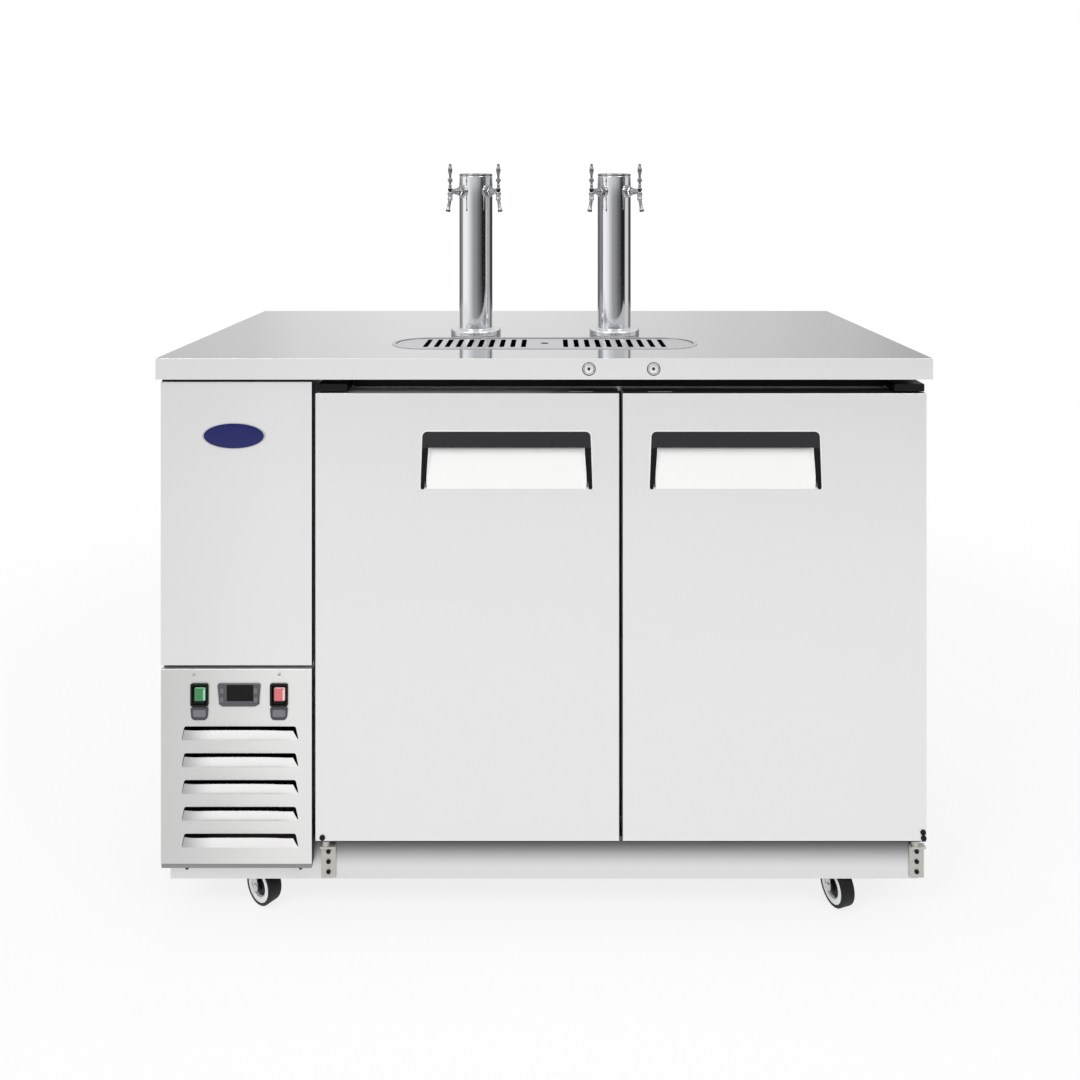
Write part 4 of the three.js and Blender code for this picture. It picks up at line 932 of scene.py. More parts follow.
# %% [markdown]
# ## Faucets
# A faucet is a row of turned parts: a round collar against the tube, a hexagonal nut, a barrel,
# an upright body with the lever's seat on top, and a slim spout that slants outwards. The
# parts are turned one by one, tipped into place and joined. The spout's end is painted black,
# which in its bore is painted shade.

# %% Faucet parts
SPINDLE = 71
SHANK_Z = TOWER_RISE - 40
LEAN = 12
SPOUT_RISE = -14.9
SPOUT_END = 40


def faucet_parts(name):
    """A whole faucet, standing out from the tower's axis towards the front."""
    collar = turned(
        f"{name}_collar",
        [(0, 33), (13, 33), (14, 34.4), (14, 39.4), *corner(12.8, 39.6, 1.2, 0, 90, 4),
         (10.8, 41.3), (10.2, 41.55), (0, 41.55)],
        48,
    )
    nut = turned(
        f"{name}_nut",
        [(0, 41.5), (9.2, 41.5), (10, 42.3), (10, 47.7), (9.2, 48.55), (0, 48.55)],
        6,
    )
    barrel = turned(
        f"{name}_barrel",
        curve_through(
            [(6.2, 48.5), (7, 50), (6.6, 52.5), (6.9, 55), (6.4, 58), (5.8, 61), (5.6, 66),
             (5.4, SPINDLE)], 4)
        + [(0, SPINDLE)],
        40,
    )
    pieces = [softened(nut, 0.35, 2, 25), collar, barrel]
    for part in pieces:
        apply_place(part, toward_front)
    body = turned(
        f"{name}_body",
        [(0, -20)] + curve_through(
            [(3.6, -20.4), (4.8, -18.8), (5.4, -15.5), (4.3, -12.4), (4.9, -9),
             (5.5, -6.2), (5.5, -3.4), (4.6, -1.6), (3.2, -1.35)], 4) + [(0, -1.35)],
        40,
    )
    apply_place(body, at(0, -SPINDLE, 0))
    spout = turned(
        f"{name}_spout",
        [(0, 8.5)] + curve_through(
            [(3.4, 8.2), (4.2, 5), (3.9, 0), (3.5, -8), (3.5, -17), (4.0, -23.5), (5.0, -25.5),
             (5.1, -28.4)], 4)
        + [(4.6, -29), (3.1, -29), (3.1, -20), (0, -20)],
        40,
    )
    apply_place(spout, at(0, -SPINDLE, SPOUT_RISE, -LEAN, "X"))
    return joined(name, *pieces, body, spout)


# Each tap stands on its tower's axis, turned by this angle to one side of the front.
TAP_ANGLES = {
    ("left", "outer"): -47, ("left", "inner"): 47,
    ("right", "outer"): 47, ("right", "inner"): -47,
}
taps = {
    f"{side}_{place}": at(tower_x[side], TOWER_Y, TOP + SHANK_Z, angle)
    for (side, place), angle in TAP_ANGLES.items()
}
faucet_model = faucet_parts("faucet_model")
for name, where in taps.items():
    faucet = copied(faucet_model, f"faucet_{name}_chrome", where)
    fitted(faucet, "cabinet", "faucet_chrome", f"faucet_{name}", angle=40)
    # The spout's end and its bore are painted black; in the bore it is painted shade.
    painted(faucet, "hinge_black", lambda middle, normal: middle.z < TOP + SHANK_Z - SPOUT_END)
removed(faucet_model)

# %% [markdown]
# ## Tap levers
# The levers are slim turned rods: a ball at the foot, a few swellings for the fingers and a
# small round top. A smooth line through the widest and narrowest places gives their outline.
# The line's last point lies on the axis, which closes the top.

# %% Levers
LEVER_RISE = 4
BALL_TOP = 1.5
lever_line = curve_through(
    [(0.8, -4.9), (3.6, -3.4), (4.9, 0), (4.2, 3.0), (2.6, 5.4), (3.2, 7.2),
     (3.0, 9.5), (2.3, 12.5), (3.4, 16.5), (5.2, 18.6), (5.5, 20.2), (4.6, 22),
     (2.7, 25), (2.4, 29), (3.2, 34), (4.4, 39), (4.6, 42.5), (3.9, 46.5),
     (2.9, 49.5), (2.6, 51.3), (2.9, 53), (2.3, 55), (1.0, 55.8)],
    4,
)
lever_model = turned("lever_model", [(0, -5), *lever_line, (0, 56)], 32)
dark_below = TOP + SHANK_Z + LEVER_RISE + BALL_TOP
for name, where in taps.items():
    body = f"tap_lever_{name}"
    lever = copied(lever_model, f"{body}_chrome", where @ at(0, -SPINDLE, LEVER_RISE))
    fitted(lever, body, "lever_chrome", body, angle=60)
    painted(lever, "hinge_black", lambda middle, normal: middle.z < dark_below)
removed(lever_model)

# %% [markdown]
# ## Worktop
# The worktop is one sheet of stainless steel, folded down at its edges and folded in again
# underneath. A block whose underside is opened gives the folded shape, a bevel gives the bends
# their radius, and only then does the shell get its thickness. The holes are cut last.

# %% Rounded plates and rods
def rounded_plate(name, width, depth, radius, z0, z1, segments=12, middle=(0, 0)):
    """A flat plate with round corners: a plane whose corners are bevelled, then extruded down."""
    deselect_all()
    bpy.ops.mesh.primitive_plane_add(size=1, location=(middle[0] * MM, middle[1] * MM, z1 * MM))
    piece = named(name)
    piece.scale = (width * MM, depth * MM, 1)
    apply_place(piece)
    with editing(piece):
        select_everything()
        bpy.ops.mesh.bevel(offset=radius * MM, segments=segments, affect="VERTICES")
        select_everything()
        pushed(z=z0 - z1)
    return clean(piece)


def rod(name, radius, start, end, vertices=48):
    """A round rod between two points."""
    start, end = Vector(start) * MM, Vector(end) * MM
    deselect_all()
    bpy.ops.mesh.primitive_cylinder_add(
        vertices=vertices, radius=radius * MM, depth=(end - start).length,
        location=(start + end) / 2, rotation=(end - start).to_track_quat("Z", "Y").to_euler(),
    )
    return apply_place(named(name))


def opened_block(name, low, high, open_face, lip, bend, sheet):
    """A folded sheet: a block with one face opened but for a lip, bent edges and a thickness."""
    piece = slab(name, low, high)
    with editing(piece):
        pick("faces", lambda middle, normal: normal.dot(Vector(open_face)) > 0.9)
        if lip:
            bpy.ops.mesh.inset(thickness=lip * MM)
        bpy.ops.mesh.delete(type="FACE")
    softened(piece, bend, 4, 60)
    return thickened(piece, sheet)


def node_corners(node):
    """The low and high corner of a CAD node, in millimetres."""
    return [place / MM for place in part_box(node)]


# %% Worktop
TRAY_WIDTH = 630
TRAY_DEPTH = 147
TRAY_RADIUS = 70
TRAY_Y = -175
TRAY_RIM = 8
WELL_PLAY = 0.3
LINE_HOLE = 25
LOCK_HOLE = 12.8
LOCK_X = {"left": 84.4, "right": 206.6}
LOCK_Z = 1048
worktop = opened_block(
    "worktop_sheet", *node_corners("worktop"), open_face=(0, 0, -1), lip=22, bend=0.7, sheet=1.5)
well_gap = 2 * (TRAY_RIM - WELL_PLAY)
well = rounded_plate(
    "well_cutter", TRAY_WIDTH - well_gap, TRAY_DEPTH - well_gap, TRAY_RADIUS - TRAY_RIM + WELL_PLAY,
    TOP - 10, TOP + 5, middle=(0, TRAY_Y),
)
line_holes = [
    rod("line_cutter", LINE_HOLE, (x, TOWER_Y, TOP - 8), (x, TOWER_Y, TOP + 8))
    for x in tower_x.values()
]
lock_holes = [
    rod("lock_cutter", LOCK_HOLE, (x, -365, LOCK_Z), (x, -350, LOCK_Z)) for x in LOCK_X.values()
]
bored(worktop, well, *line_holes, *lock_holes)
fitted(worktop, "cabinet", "worktop_steel", "worktop")
# The front fold and edges take the apron finish, painted darker towards the left.
painted(worktop, "apron_steel_painted_shade", lambda middle, normal: abs(normal.z) < 0.97)

# %% [markdown]
# ## Drip tray and grate
# The tray is pressed from one sheet: a flat rim that lies on the worktop and a well below it.
# A rounded plane, inset for the rim and pushed down for the well, gives the same form. The
# grate is a plate with two rows of long slots; one slot is modelled and the others are copies.

# %% Tray
RIM_TOP = TOP + 1.5
WELL_DROPS = (-1.2, -23.5)


def rim_distance(co):
    """How far a point lies outside the tray's rounded outline."""
    dx = max(abs(co.x) - (TRAY_WIDTH / 2 - TRAY_RADIUS), 0)
    dy = max(abs(co.y - TRAY_Y) - (TRAY_DEPTH / 2 - TRAY_RADIUS), 0)
    return math.hypot(dx, dy) - TRAY_RADIUS


def on_rim_edge(co):
    """True on the outermost line of the tray's rim."""
    return near(co.z, RIM_TOP) and (
        abs(co.x) > TRAY_WIDTH / 2 - 0.3 or abs(co.y - TRAY_Y) > TRAY_DEPTH / 2 - 0.3
        or rim_distance(co) > -0.3)


def drip_tray():
    """The pressed sheet, from its rim inwards and down."""
    deselect_all()
    bpy.ops.mesh.primitive_plane_add(size=1, location=(0, TRAY_Y * MM, RIM_TOP * MM))
    tray = named("drip_pan_sheet")
    tray.scale = (TRAY_WIDTH * MM, TRAY_DEPTH * MM, 1)
    apply_place(tray)
    with editing(tray):
        select_everything()
        bpy.ops.mesh.bevel(offset=TRAY_RADIUS * MM, segments=20, affect="VERTICES")
        select_everything()
        for width in (1.0, TRAY_RIM - 1.0):
            bpy.ops.mesh.inset(thickness=width * MM, depth=0)
        for drop in WELL_DROPS:
            pushed(z=drop)
        bpy.ops.mesh.inset(thickness=6 * MM, depth=0)
        pushed(z=-0.3)
        shifted(on_rim_edge, z=-1.1)
    return thickened(clean(tray), 0.8)


tray = drip_tray()
fitted(tray, "cabinet", "tray_steel", "drip_pan")
painted(tray, "tray_shade", lambda middle, normal: middle.z < TOP - 6)

# %% Grate
GRATE_SLOTS = 10
GRATE_PITCH = 22.1
GRATE_FIRST = 43
GRATE_GAP = 2 * (TRAY_RIM + 1.0)
SLOT_WIDTH, SLOT_LENGTH = 10, 98
GRIP_WIDTH, GRIP_LENGTH = 17, 15
RIB_FOOT = 1045.5
RIB_SPREAD = 55
grate = rounded_plate(
    "drip_grate_plate", TRAY_WIDTH - GRATE_GAP, TRAY_DEPTH - GRATE_GAP, TRAY_RADIUS - GRATE_GAP / 2,
    TOP - 2, TOP, 20, (0, TRAY_Y),
)
slot_model = rounded_plate(
    "slot_model", SLOT_WIDTH, SLOT_LENGTH, 3.2, TOP - 6, TOP + 4, 4, (0, TRAY_Y))
slot_cutters = [
    copied(slot_model, "slot_cutter", at(sign * (GRATE_FIRST + index * GRATE_PITCH)))
    for sign in (-1, 1)
    for index in range(GRATE_SLOTS)
]
removed(slot_model)
grip = rounded_plate(
    "grip_cutter", GRIP_WIDTH, GRIP_LENGTH, 7.4, TOP - 6, TOP + 4, 8, (0, TRAY_Y))
bored(grate, joined("slot_cutters", *slot_cutters, grip))
softened(clean(grate), 0.35, 2, 50)
rib_half = GRATE_FIRST + GRATE_SLOTS * GRATE_PITCH - 12
ribs = [
    softened(slab("grate_rib", (-rib_half, y - 1, RIB_FOOT), (rib_half, y + 1, TOP - 1.9)), 0.4)
    for y in (TRAY_Y - RIB_SPREAD, TRAY_Y + RIB_SPREAD)
]
grate = fitted(joined("drip_grate_plate", grate, *ribs), "drip_grate", "tray_steel", "drip_grate")
painted(grate, "tray_shade",
        lambda middle, normal: abs(normal.z) < 0.8 and rim_distance(middle) < -GRATE_GAP)

# %% [markdown]
# ## Doors
# A door's front is a pan of sheet steel: flat in front, bent round all four sides and lipped
# at the back, where the moulded liner closes it. It is made as the worktop was, by opening a
# block. The handle's hole, the hinge pins' holes and the lock's slot are cut in it.

# %% Door pans
DOOR_TOP = 1000.5
DOOR_BOTTOM = 151.5
FACE = -349
HANDLE_HALF = 159
HANDLE_TOP = 928
HANDLE_FOOT = 819
HANDLE_HOLE_HALF = 154
PIN_INSET = 18
PIN_DEPTH = 12
PIN_HOLE = 4.5
CAM_FRONT, CAM_BACK = -334.5, -332
LOCK_SLOT_OUT, LOCK_SLOT_IN = 38, 8.5
# A door's hinge edge, handle and lock lie at these x; inward points from the hinge's side inwards.
doors = {
    "left": {"inward": 1, "edge": -434, "handle": -71.5, "lock": LOCK_X["left"]},
    "right": {"inward": -1, "edge": 725, "handle": 362.5, "lock": LOCK_X["right"]},
}
for side, door in doors.items():
    pan = opened_block(
        f"door_pan_{side}", *node_corners(f"door_panel_{side}"), open_face=(0, 1, 0),
        lip=18, bend=1.5, sheet=1.2)
    inward, handle, lock = door["inward"], door["handle"], door["lock"]
    pin_x, pin_y = door["edge"] + inward * PIN_INSET, FACE + PIN_DEPTH
    slot_ends = sorted((lock - inward * LOCK_SLOT_OUT, lock + inward * LOCK_SLOT_IN))
    bored(
        pan,
        slab("handle_cutter", (handle - HANDLE_HOLE_HALF, FACE - 5, HANDLE_FOOT + 3.4),
             (handle + HANDLE_HOLE_HALF, FACE + 5, HANDLE_TOP - 5)),
        *[rod("pin_cutter", PIN_HOLE, (pin_x, pin_y, z - 4), (pin_x, pin_y, z + 4))
          for z in (DOOR_BOTTOM, DOOR_TOP)],
        slab("lock_slot_cutter", (slot_ends[0], CAM_FRONT - 1.5, DOOR_TOP - 4),
             (slot_ends[1], CAM_BACK + 1.5, DOOR_TOP + 4)),
    )
    fitted(pan, f"door_{side}", "door_steel", f"door_panel_{side}")
    # The top face takes the painted shade finish, darker towards the right.
    painted(
        pan, "door_top_painted_shade",
        lambda middle, normal: normal.z > 0.9 and middle.z > DOOR_TOP - 3)

# %% [markdown]
# ## Softened copies of solids
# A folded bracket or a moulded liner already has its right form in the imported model, but its
# edges are perfectly sharp. A copy of such a node is merged, its flat faces are made whole
# again, and a small bevel lets its edges catch the light. The copy then stands for the node.

# %% Softened copies
def softened_copy(node, width, segments=2, angle=30):
    """A copy of a CAD node whose triangles are merged and whose edges are bevelled."""
    only(nodes[node])
    bpy.ops.object.duplicate(linked=False)
    piece = named(f"{node}_soft")
    piece.parent = None
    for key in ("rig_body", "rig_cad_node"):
        if key in piece:
            del piece[key]
    with editing(piece):
        select_everything()
        bpy.ops.mesh.remove_doubles(threshold=0.000005)
        bpy.ops.mesh.dissolve_limited(angle_limit=math.radians(0.5))
    return softened(piece, width, segments, angle)


bodies = frame["record"]["behaviour"]["bodies"]
body_of_node = {node: body for body, members in bodies.items() for node in members}
SOFT_EDGES = {
    "kick_plate": 0.5, "upper_front_panel": 0.5,
    "lower_hinge_left": 0.6, "lower_hinge_right": 0.6,
    "upper_hinge_left": 0.9, "upper_hinge_right": 0.9,
    "door_liner_left": 1.2, "door_liner_right": 1.2,
    "outer_cabinet": 0.35, "inner_liner": 0.3, "evaporator_unit": 0.6, "condenser_unit": 0.4,
    "compressor": 0.8, "condenser_fan": 0.5, "evaporator_fan": 0.5, "base_frame": 0.3,
}
# The kick plate's colour is painted darker upwards: painted shade for the doors' shadow on it.
finish("kick_steel_painted_shade", "brushed", (226, 226, 226), SATIN, grain_scale=ACROSS, roughness=0.36,
       fade_along=(0, 0, -1), fade_from=-0.146, fade_to=-0.088, fade_tone=-0.88)
for node, width in SOFT_EDGES.items():
    look = "kick_steel_painted_shade" if node == "kick_plate" else None
    piece = softened_copy(node, width)
    fitted(piece, body_of_node[node], slot_of[node], node, angle=32, look=look)
    # The upper panel's right side, in the gap by the door, is painted black: painted shade.
    if node == "upper_front_panel":
        painted(piece, "hinge_black", lambda middle, normal: normal.x > 0.9 and middle.x > -450)

# %% [markdown]
# ## Recessed handles
# The handle is one black moulding: a bar with round upper corners and two thin legs that
# widen towards it. Between the legs a bright steel scoop slopes back, so fingers find their
# way behind the bar; its brightness is partly painted light. The frame is a plate with a gap
# cut up into it, and the scoop a folded cup.

# %% Handle frames
SLOPE_DEPTH = 10
POCKET_DEPTH = 34.5
SCOOP_INSET = 5.5
LEG_WIDTH = 10
PLATE_FLARE = 3.8
GAP_FLARE = 6.6


def handle_arch(name, middle, front, depth, grow, bar, foot_round):
    """A plate with a gap cut up into it, both wider at the foot; grow makes the plate larger."""
    half, top = HANDLE_HALF + grow, HANDLE_TOP + grow
    plate = slab(name, (middle - half, front, HANDLE_FOOT), (middle + half, front + depth, top))
    gap = slab("handle_gap", (middle - HANDLE_HALF + LEG_WIDTH, front - 4, HANDLE_FOOT - 4),
               (middle + HANDLE_HALF - LEG_WIDTH, front + depth + 4, HANDLE_TOP - bar))
    for piece, flare, radius in ((plate, PLATE_FLARE, 9 + grow), (gap, GAP_FLARE, 2.5)):
        with editing(piece):
            for sign in (-1, 1):
                shifted(
                    lambda co: co.z < HANDLE_FOOT + 1 and sign * (co.x - middle) > 0,
                    x=sign * flare)
            rounded(lambda a, b: runs_back(a, b) and a.z > HANDLE_TOP - 31, radius, 8)
    bored(plate, gap)
    with editing(clean(plate)):
        rounded(lambda a, b: runs_back(a, b) and a.z < HANDLE_FOOT + 1, foot_round)
        select_everything()
        bpy.ops.mesh.bisect(plane_co=(0, 0, (HANDLE_TOP - bar - 0.6) * MM), plane_no=(0, 0, 1))
    return plate


def handle_scoop(name, middle):
    """A folded cup: a slope runs back from its foot, and a finger pocket lies behind the bar."""
    half, foot, bend = HANDLE_HALF - SCOOP_INSET, HANDLE_FOOT + 0.6, HANDLE_TOP - 33
    cup = slab(name, (middle - half, FACE - 0.4, foot),
               (middle + half, FACE + SLOPE_DEPTH, HANDLE_TOP - 8.5))
    with editing(cup):
        select_everything()
        bpy.ops.mesh.bisect(plane_co=(0, 0, bend * MM), plane_no=(0, 0, 1))
        pick("faces", lambda spot, normal: normal.y > 0.9 and spot.z > bend)
        pushed(y=POCKET_DEPTH - SLOPE_DEPTH)
        shifted(lambda co: co.y > FACE + 30 and co.z < bend + 1, z=9)
        shifted(lambda co: co.z < foot + 1 and co.y > FACE + 1, y=-0.4 - SLOPE_DEPTH)
        for sign in (-1, 1):
            shifted(
                lambda co: sign * (co.x - middle) > 0 and co.z > bend - 1,
                x=-sign * SCOOP_INSET)
        pick("faces", lambda spot, normal: normal.y < -0.9 or spot.z < foot + 0.1)
        bpy.ops.mesh.delete(type="FACE")
        select_everything()
        bpy.ops.mesh.remove_doubles(threshold=0.000005)
    return thickened(softened(cup, 3.5, 5, 20), 0.7)


# The scoop and the lip round the frame get a lighter, less metallic copy of the door's steel:
# painted light that keeps the scoop bright in the bar's shade.
finish("handle_scoop", "brushed", (250, 250, 249), {"Metallic": 0.15, "Specular IOR Level": 0.4},
       grain_scale=ACROSS, roughness=0.4)
finish("handle_painted_shade", "moulded", (8, 8, 10), DARK, roughness=0.5, grain_size=1200.0)
for side, door in doors.items():
    body, middle = f"door_{side}", door["handle"]
    bar = handle_arch(f"handle_bar_{side}", middle, FACE - 1.8, 6, grow=0, bar=30, foot_round=3.2)
    fitted(softened(bar, 2.2, 5, 40), body, "handle", f"door_handle_{side}", angle=40)
    # The bar's upper and lower edges and its legs are painted darker than the moulding: painted
    # shade.
    painted(
        bar, "handle_painted_shade",
        lambda spot, normal: abs(normal.z) > 0.3 or spot.z < HANDLE_TOP - 30.5)
    lip = handle_arch(
        f"handle_lip_{side}", middle, FACE - 0.8, 1.4, grow=2.2, bar=24, foot_round=2.5)
    fitted(softened(lip, 0.3, 2, 40), body, "door_steel", angle=40, look="handle_scoop")
    fitted(handle_scoop(f"handle_scoop_{side}", middle), body, "door_steel", look="handle_scoop")

# %% [markdown]
# ## Louvred panel
# The lower panel breathes through five pressed louvres. Each is a cut with the metal below it
# pushed out, so a black slot shows above a bright flap. The panel is an opened block with its
# slots cut through, and one flap is shaped from a flat grid and copied down the panel.

# %% Louvred panel
LOUVRES = 5
LOUVRE_PITCH = 50.8
LOUVRE_TOP = 369.4
LOUVRE_LEFT, LOUVRE_RIGHT = -682, -471
LOUVRE_HEIGHT = 26.6
LOUVRE_FLARE = 5
CONTROL_Z = 429.5
CONTROL_X = {"power": -653, "controller": -578, "light": -502.5}
CONTROL_HOLES = {"power": (14.4, 19.2), "controller": (38.4, 18.9), "light": (14.4, 19.2)}


def front_block(name, x, z, half_width, half_height, front, back):
    """A block centred on a place of the front; front and back count from the front's face."""
    return slab(name, (x - half_width, FACE + front, z - half_height),
                (x + half_width, FACE + back, z + half_height))


def louvre_cutter(top):
    """The slot's outline: wider at its foot, with rounded upper corners."""
    foot = top - LOUVRE_HEIGHT + 3
    cutter = slab("louvre_cutter", (LOUVRE_LEFT, FACE - 5, foot), (LOUVRE_RIGHT, FACE + 5, top))
    with editing(cutter):
        for sign, end in ((-1, LOUVRE_LEFT), (1, LOUVRE_RIGHT)):
            shifted(lambda co: near(co.x, end) and near(co.z, foot), x=sign * LOUVRE_FLARE)
        rounded(lambda a, b: runs_back(a, b) and near(a.z, top), 3.5)
    return cutter


panel_low, panel_high = node_corners("grille_panel")
panel = opened_block(
    "louvred_panel", (panel_low.x, FACE, panel_low.z), panel_high, open_face=(0, 1, 0),
    lip=0, bend=1.6, sheet=1.5)
bored(
    panel,
    *[louvre_cutter(LOUVRE_TOP - index * LOUVRE_PITCH) for index in range(LOUVRES)],
    *[front_block("control_cutter", CONTROL_X[name], CONTROL_Z, *halves, -5, 5)
      for name, halves in CONTROL_HOLES.items()],
)
fitted(panel, "cabinet", "panel_steel", "grille_panel", look="grille_steel_painted_shade")
# The panel's right side, in the gap by the door, is painted black: painted shade.
painted(panel, "hinge_black", lambda middle, normal: normal.x > 0.9 and middle.x > panel_high.x - 1)

# %% Louvre flaps
FLAP_INSET = 9
FLAP_PUSH = 6.6
FLAP_SAG = 2.6
# A flap's left end closes wholly against the panel, and its right end by this share.
RIGHT_CLOSING = 0.45


def louvre_flap(name, top):
    """A strip pushed out along its upper edge, narrower there and curved back at its ends."""
    deselect_all()
    bpy.ops.mesh.primitive_grid_add(x_subdivisions=32, y_subdivisions=8, size=1)
    flap = named(name)
    half, height = (LOUVRE_RIGHT - LOUVRE_LEFT) / 2 + LOUVRE_FLARE, LOUVRE_HEIGHT - 4.2
    middle, foot = (LOUVRE_LEFT + LOUVRE_RIGHT) / 2, top - LOUVRE_HEIGHT
    size = Matrix.Diagonal((2 * half * MM, height * MM, 1, 1))
    apply_place(flap, at(middle, FACE, foot + height / 2) @ toward_front @ size)
    with editing(flap):
        form = bmesh.from_edit_mesh(flap.data)
        for vert in form.verts:
            up = (vert.co.z / MM - foot) / height
            across = (vert.co.x / MM - middle) / half
            inset, closing = (FLAP_INSET, RIGHT_CLOSING) if across > 0 else (LOUVRE_FLARE, 1.0)
            push = FLAP_PUSH * math.sin(up * math.pi / 2) * (1 - closing * abs(across) ** 7)
            vert.co.x = (middle + across * (half - inset * up)) * MM
            vert.co.y -= push * MM
            vert.co.z -= FLAP_SAG * MM * up * abs(across) ** 4
        bmesh.update_edit_mesh(flap.data)
    return thickened(flap, 1.0)


# The flaps' left ends are painted darker: painted shade.
finish("louvre_steel_painted_shade", "brushed", (244, 244, 243), SATIN, grain_scale=ACROSS, roughness=0.24,
       fade_from=-0.7, fade_to=-0.62, fade_tone=-0.6)
flap_model = louvre_flap("flap_model", LOUVRE_TOP)
for index in range(LOUVRES):
    flap = copied(flap_model, f"louvre_flap_{index + 1}", at(z=-index * LOUVRE_PITCH))
    fitted(flap, "cabinet", "panel_steel", angle=50, look="louvre_steel_painted_shade")
removed(flap_model)

# %% Strips over and under the panel
# Both strips are painted shade: a black one in the gap above the upper panel and a grey one for the
# shadow under the louvred panel's foot.
finish("painted_shadow_grey", "moulded", (139, 139, 139), PLASTIC, roughness=0.5)
PANEL_STRIPS = {
    "panel_head_strip": ((-726, FACE + 4, 1022.2), (-441.5, FACE + 15, 1027.8), "hinge_black"),
    "panel_foot_trim": ((-726, FACE + 0.6, 100.4), (-441, FACE + 14, 108), "painted_shadow_grey"),
}
for name, (low, high, look) in PANEL_STRIPS.items():
    fitted(softened(slab(name, low, high), 0.5, 2), "cabinet", "gasket", look=look)

# %% [markdown]
# ## Name plate
# An oval plate is fixed to the upper panel. It is blank: a domed dark face in a bright rim. A
# flattened dome and a rim are turned round, then both are stretched into the oval, which gives
# them the highlights of real enamel.

# %% Name plate
PLATE_X, PLATE_Z = -588, 920
PLATE_HALF_WIDTH, PLATE_HALF_HEIGHT = 59.5, 24.5
TURNED_RADIUS = 10
PLATE_PARTS = {
    "name_plate_face": [
        (0, 0.2), (9.65, 0.2), (9.65, 0.9), (8.9, 1.25), (6.5, 1.55), (3.5, 1.75), (0, 1.8)],
    "name_plate_rim": [
        (9.5, 0.1), (TURNED_RADIUS, 0.1), (TURNED_RADIUS, 1.2), *corner(9.8, 1.3, 0.2, 0, 120, 5),
        (9.6, 1.1), (9.5, 0.1)],
}
oval = Matrix.Diagonal((PLATE_HALF_WIDTH / TURNED_RADIUS, PLATE_HALF_HEIGHT / TURNED_RADIUS, 1, 1))
plate_place = at(PLATE_X, FACE - SEAT, PLATE_Z) @ toward_front @ oval
dome, rim = [
    clean(apply_place(turned(name, profile, 72), plate_place))
    for name, profile in PLATE_PARTS.items()
]
fitted(dome, "cabinet", "name_plate", "name_plate", angle=50)
fitted(rim, "cabinet", "bracket", angle=50)

# %% [markdown]
# ## Switches and controller
# Two lighted rockers sit in black frames, each over a small blank label holder. Between them a
# grey controller has a dark window and two buttons on either side. All are moulded parts, so
# they start as blocks whose edges are well rounded.

# %% Switches
# Each pair is half a width and half a height.
SWITCH_HALF = (17, 21.75)
WELL_HALF = (12.9, 17.6)
WELL_WALL = 1.2


def switch_frame(name, x):
    """A rounded block with a body behind it and a well cut in its front."""
    housing = front_block(name, x, CONTROL_Z, *SWITCH_HALF, -2.9, -SEAT)
    with editing(housing):
        rounded(runs_back, 4, 6)
    softened(housing, 0.7, 3, 50)
    outer = [half + WELL_WALL for half in WELL_HALF]
    fused(housing, front_block("frame_back", x, CONTROL_Z, *outer, -1, 16))
    return bored(housing, front_block("well_cutter", x, CONTROL_Z, *WELL_HALF, -10, 13))


for name in ("power", "light"):
    housing = switch_frame(f"{name}_switch_frame", CONTROL_X[name])
    fitted(housing, "cabinet", "switch_black", f"{name}_switch_housing", angle=40)

# %% Rockers
# The rocker is a black body. Its lamp shows through a raised coloured lens in its upper part.
def lens(name, x):
    """A domed window: an inset and raised block with well rounded edges."""
    window = front_block(name, x + 2.4, CONTROL_Z + 3.3, 10, 12.3, -6.2, -3)
    with editing(window):
        pick("faces", lambda middle, normal: normal.y < -0.9)
        bpy.ops.mesh.inset(thickness=3.5 * MM, depth=1.2 * MM)
        rounded(lambda a, b: runs_back(a, b) and abs(a.y - b.y) > 2, 2.2)
    return softened(window, 0.8, 3, 12)


finish("lens_painted_highlight_green", "moulded", (150, 214, 176), GLOSSY, roughness=0.2)
finish("lens_painted_highlight_red", "moulded", (248, 206, 204), GLOSSY, roughness=0.2)
for name, colour in (("power", "green"), ("light", "red")):
    node = f"{name}_rocker"
    fitted(softened_copy(node, 0.8, 3, 20), node, "switch_black", node, angle=40)
    window = fitted(lens(f"{name}_lens", CONTROL_X[name]), node, f"rocker_{colour}", angle=50)
    # Lens faces that turn right or up get a lighter finish: a painted highlight.
    painted(
        window, f"lens_painted_highlight_{colour}",
        lambda middle, normal: normal.x > 0.12 or normal.z > 0.5)

# %% Controller
CONTROLLER_HALF = (41, 21.5)
BACK_HALF = (37, 18)
WINDOW_SHIFT = (2.2, 4.4)
WINDOW_HALF = (25.2, 15.4)
WINDOW_GAP = 0.1
BUTTON_SPREAD = (32, 8.5)
BUTTON_HALF = (3.8, 5.3)


def tapered(block, x, foot, inset, radius):
    """Narrows a block towards its foot and rounds its corners, the lower ones twice as much."""
    with editing(block):
        for sign in (-1, 1):
            shifted(lambda co: co.z < foot + 1 and sign * (co.x - x) > 0, x=-sign * inset)
        rounded(lambda a, b: runs_back(a, b) and a.z > foot + 1, radius)
        rounded(lambda a, b: runs_back(a, b) and a.z < foot + 1, 2 * radius, 7)
    return block


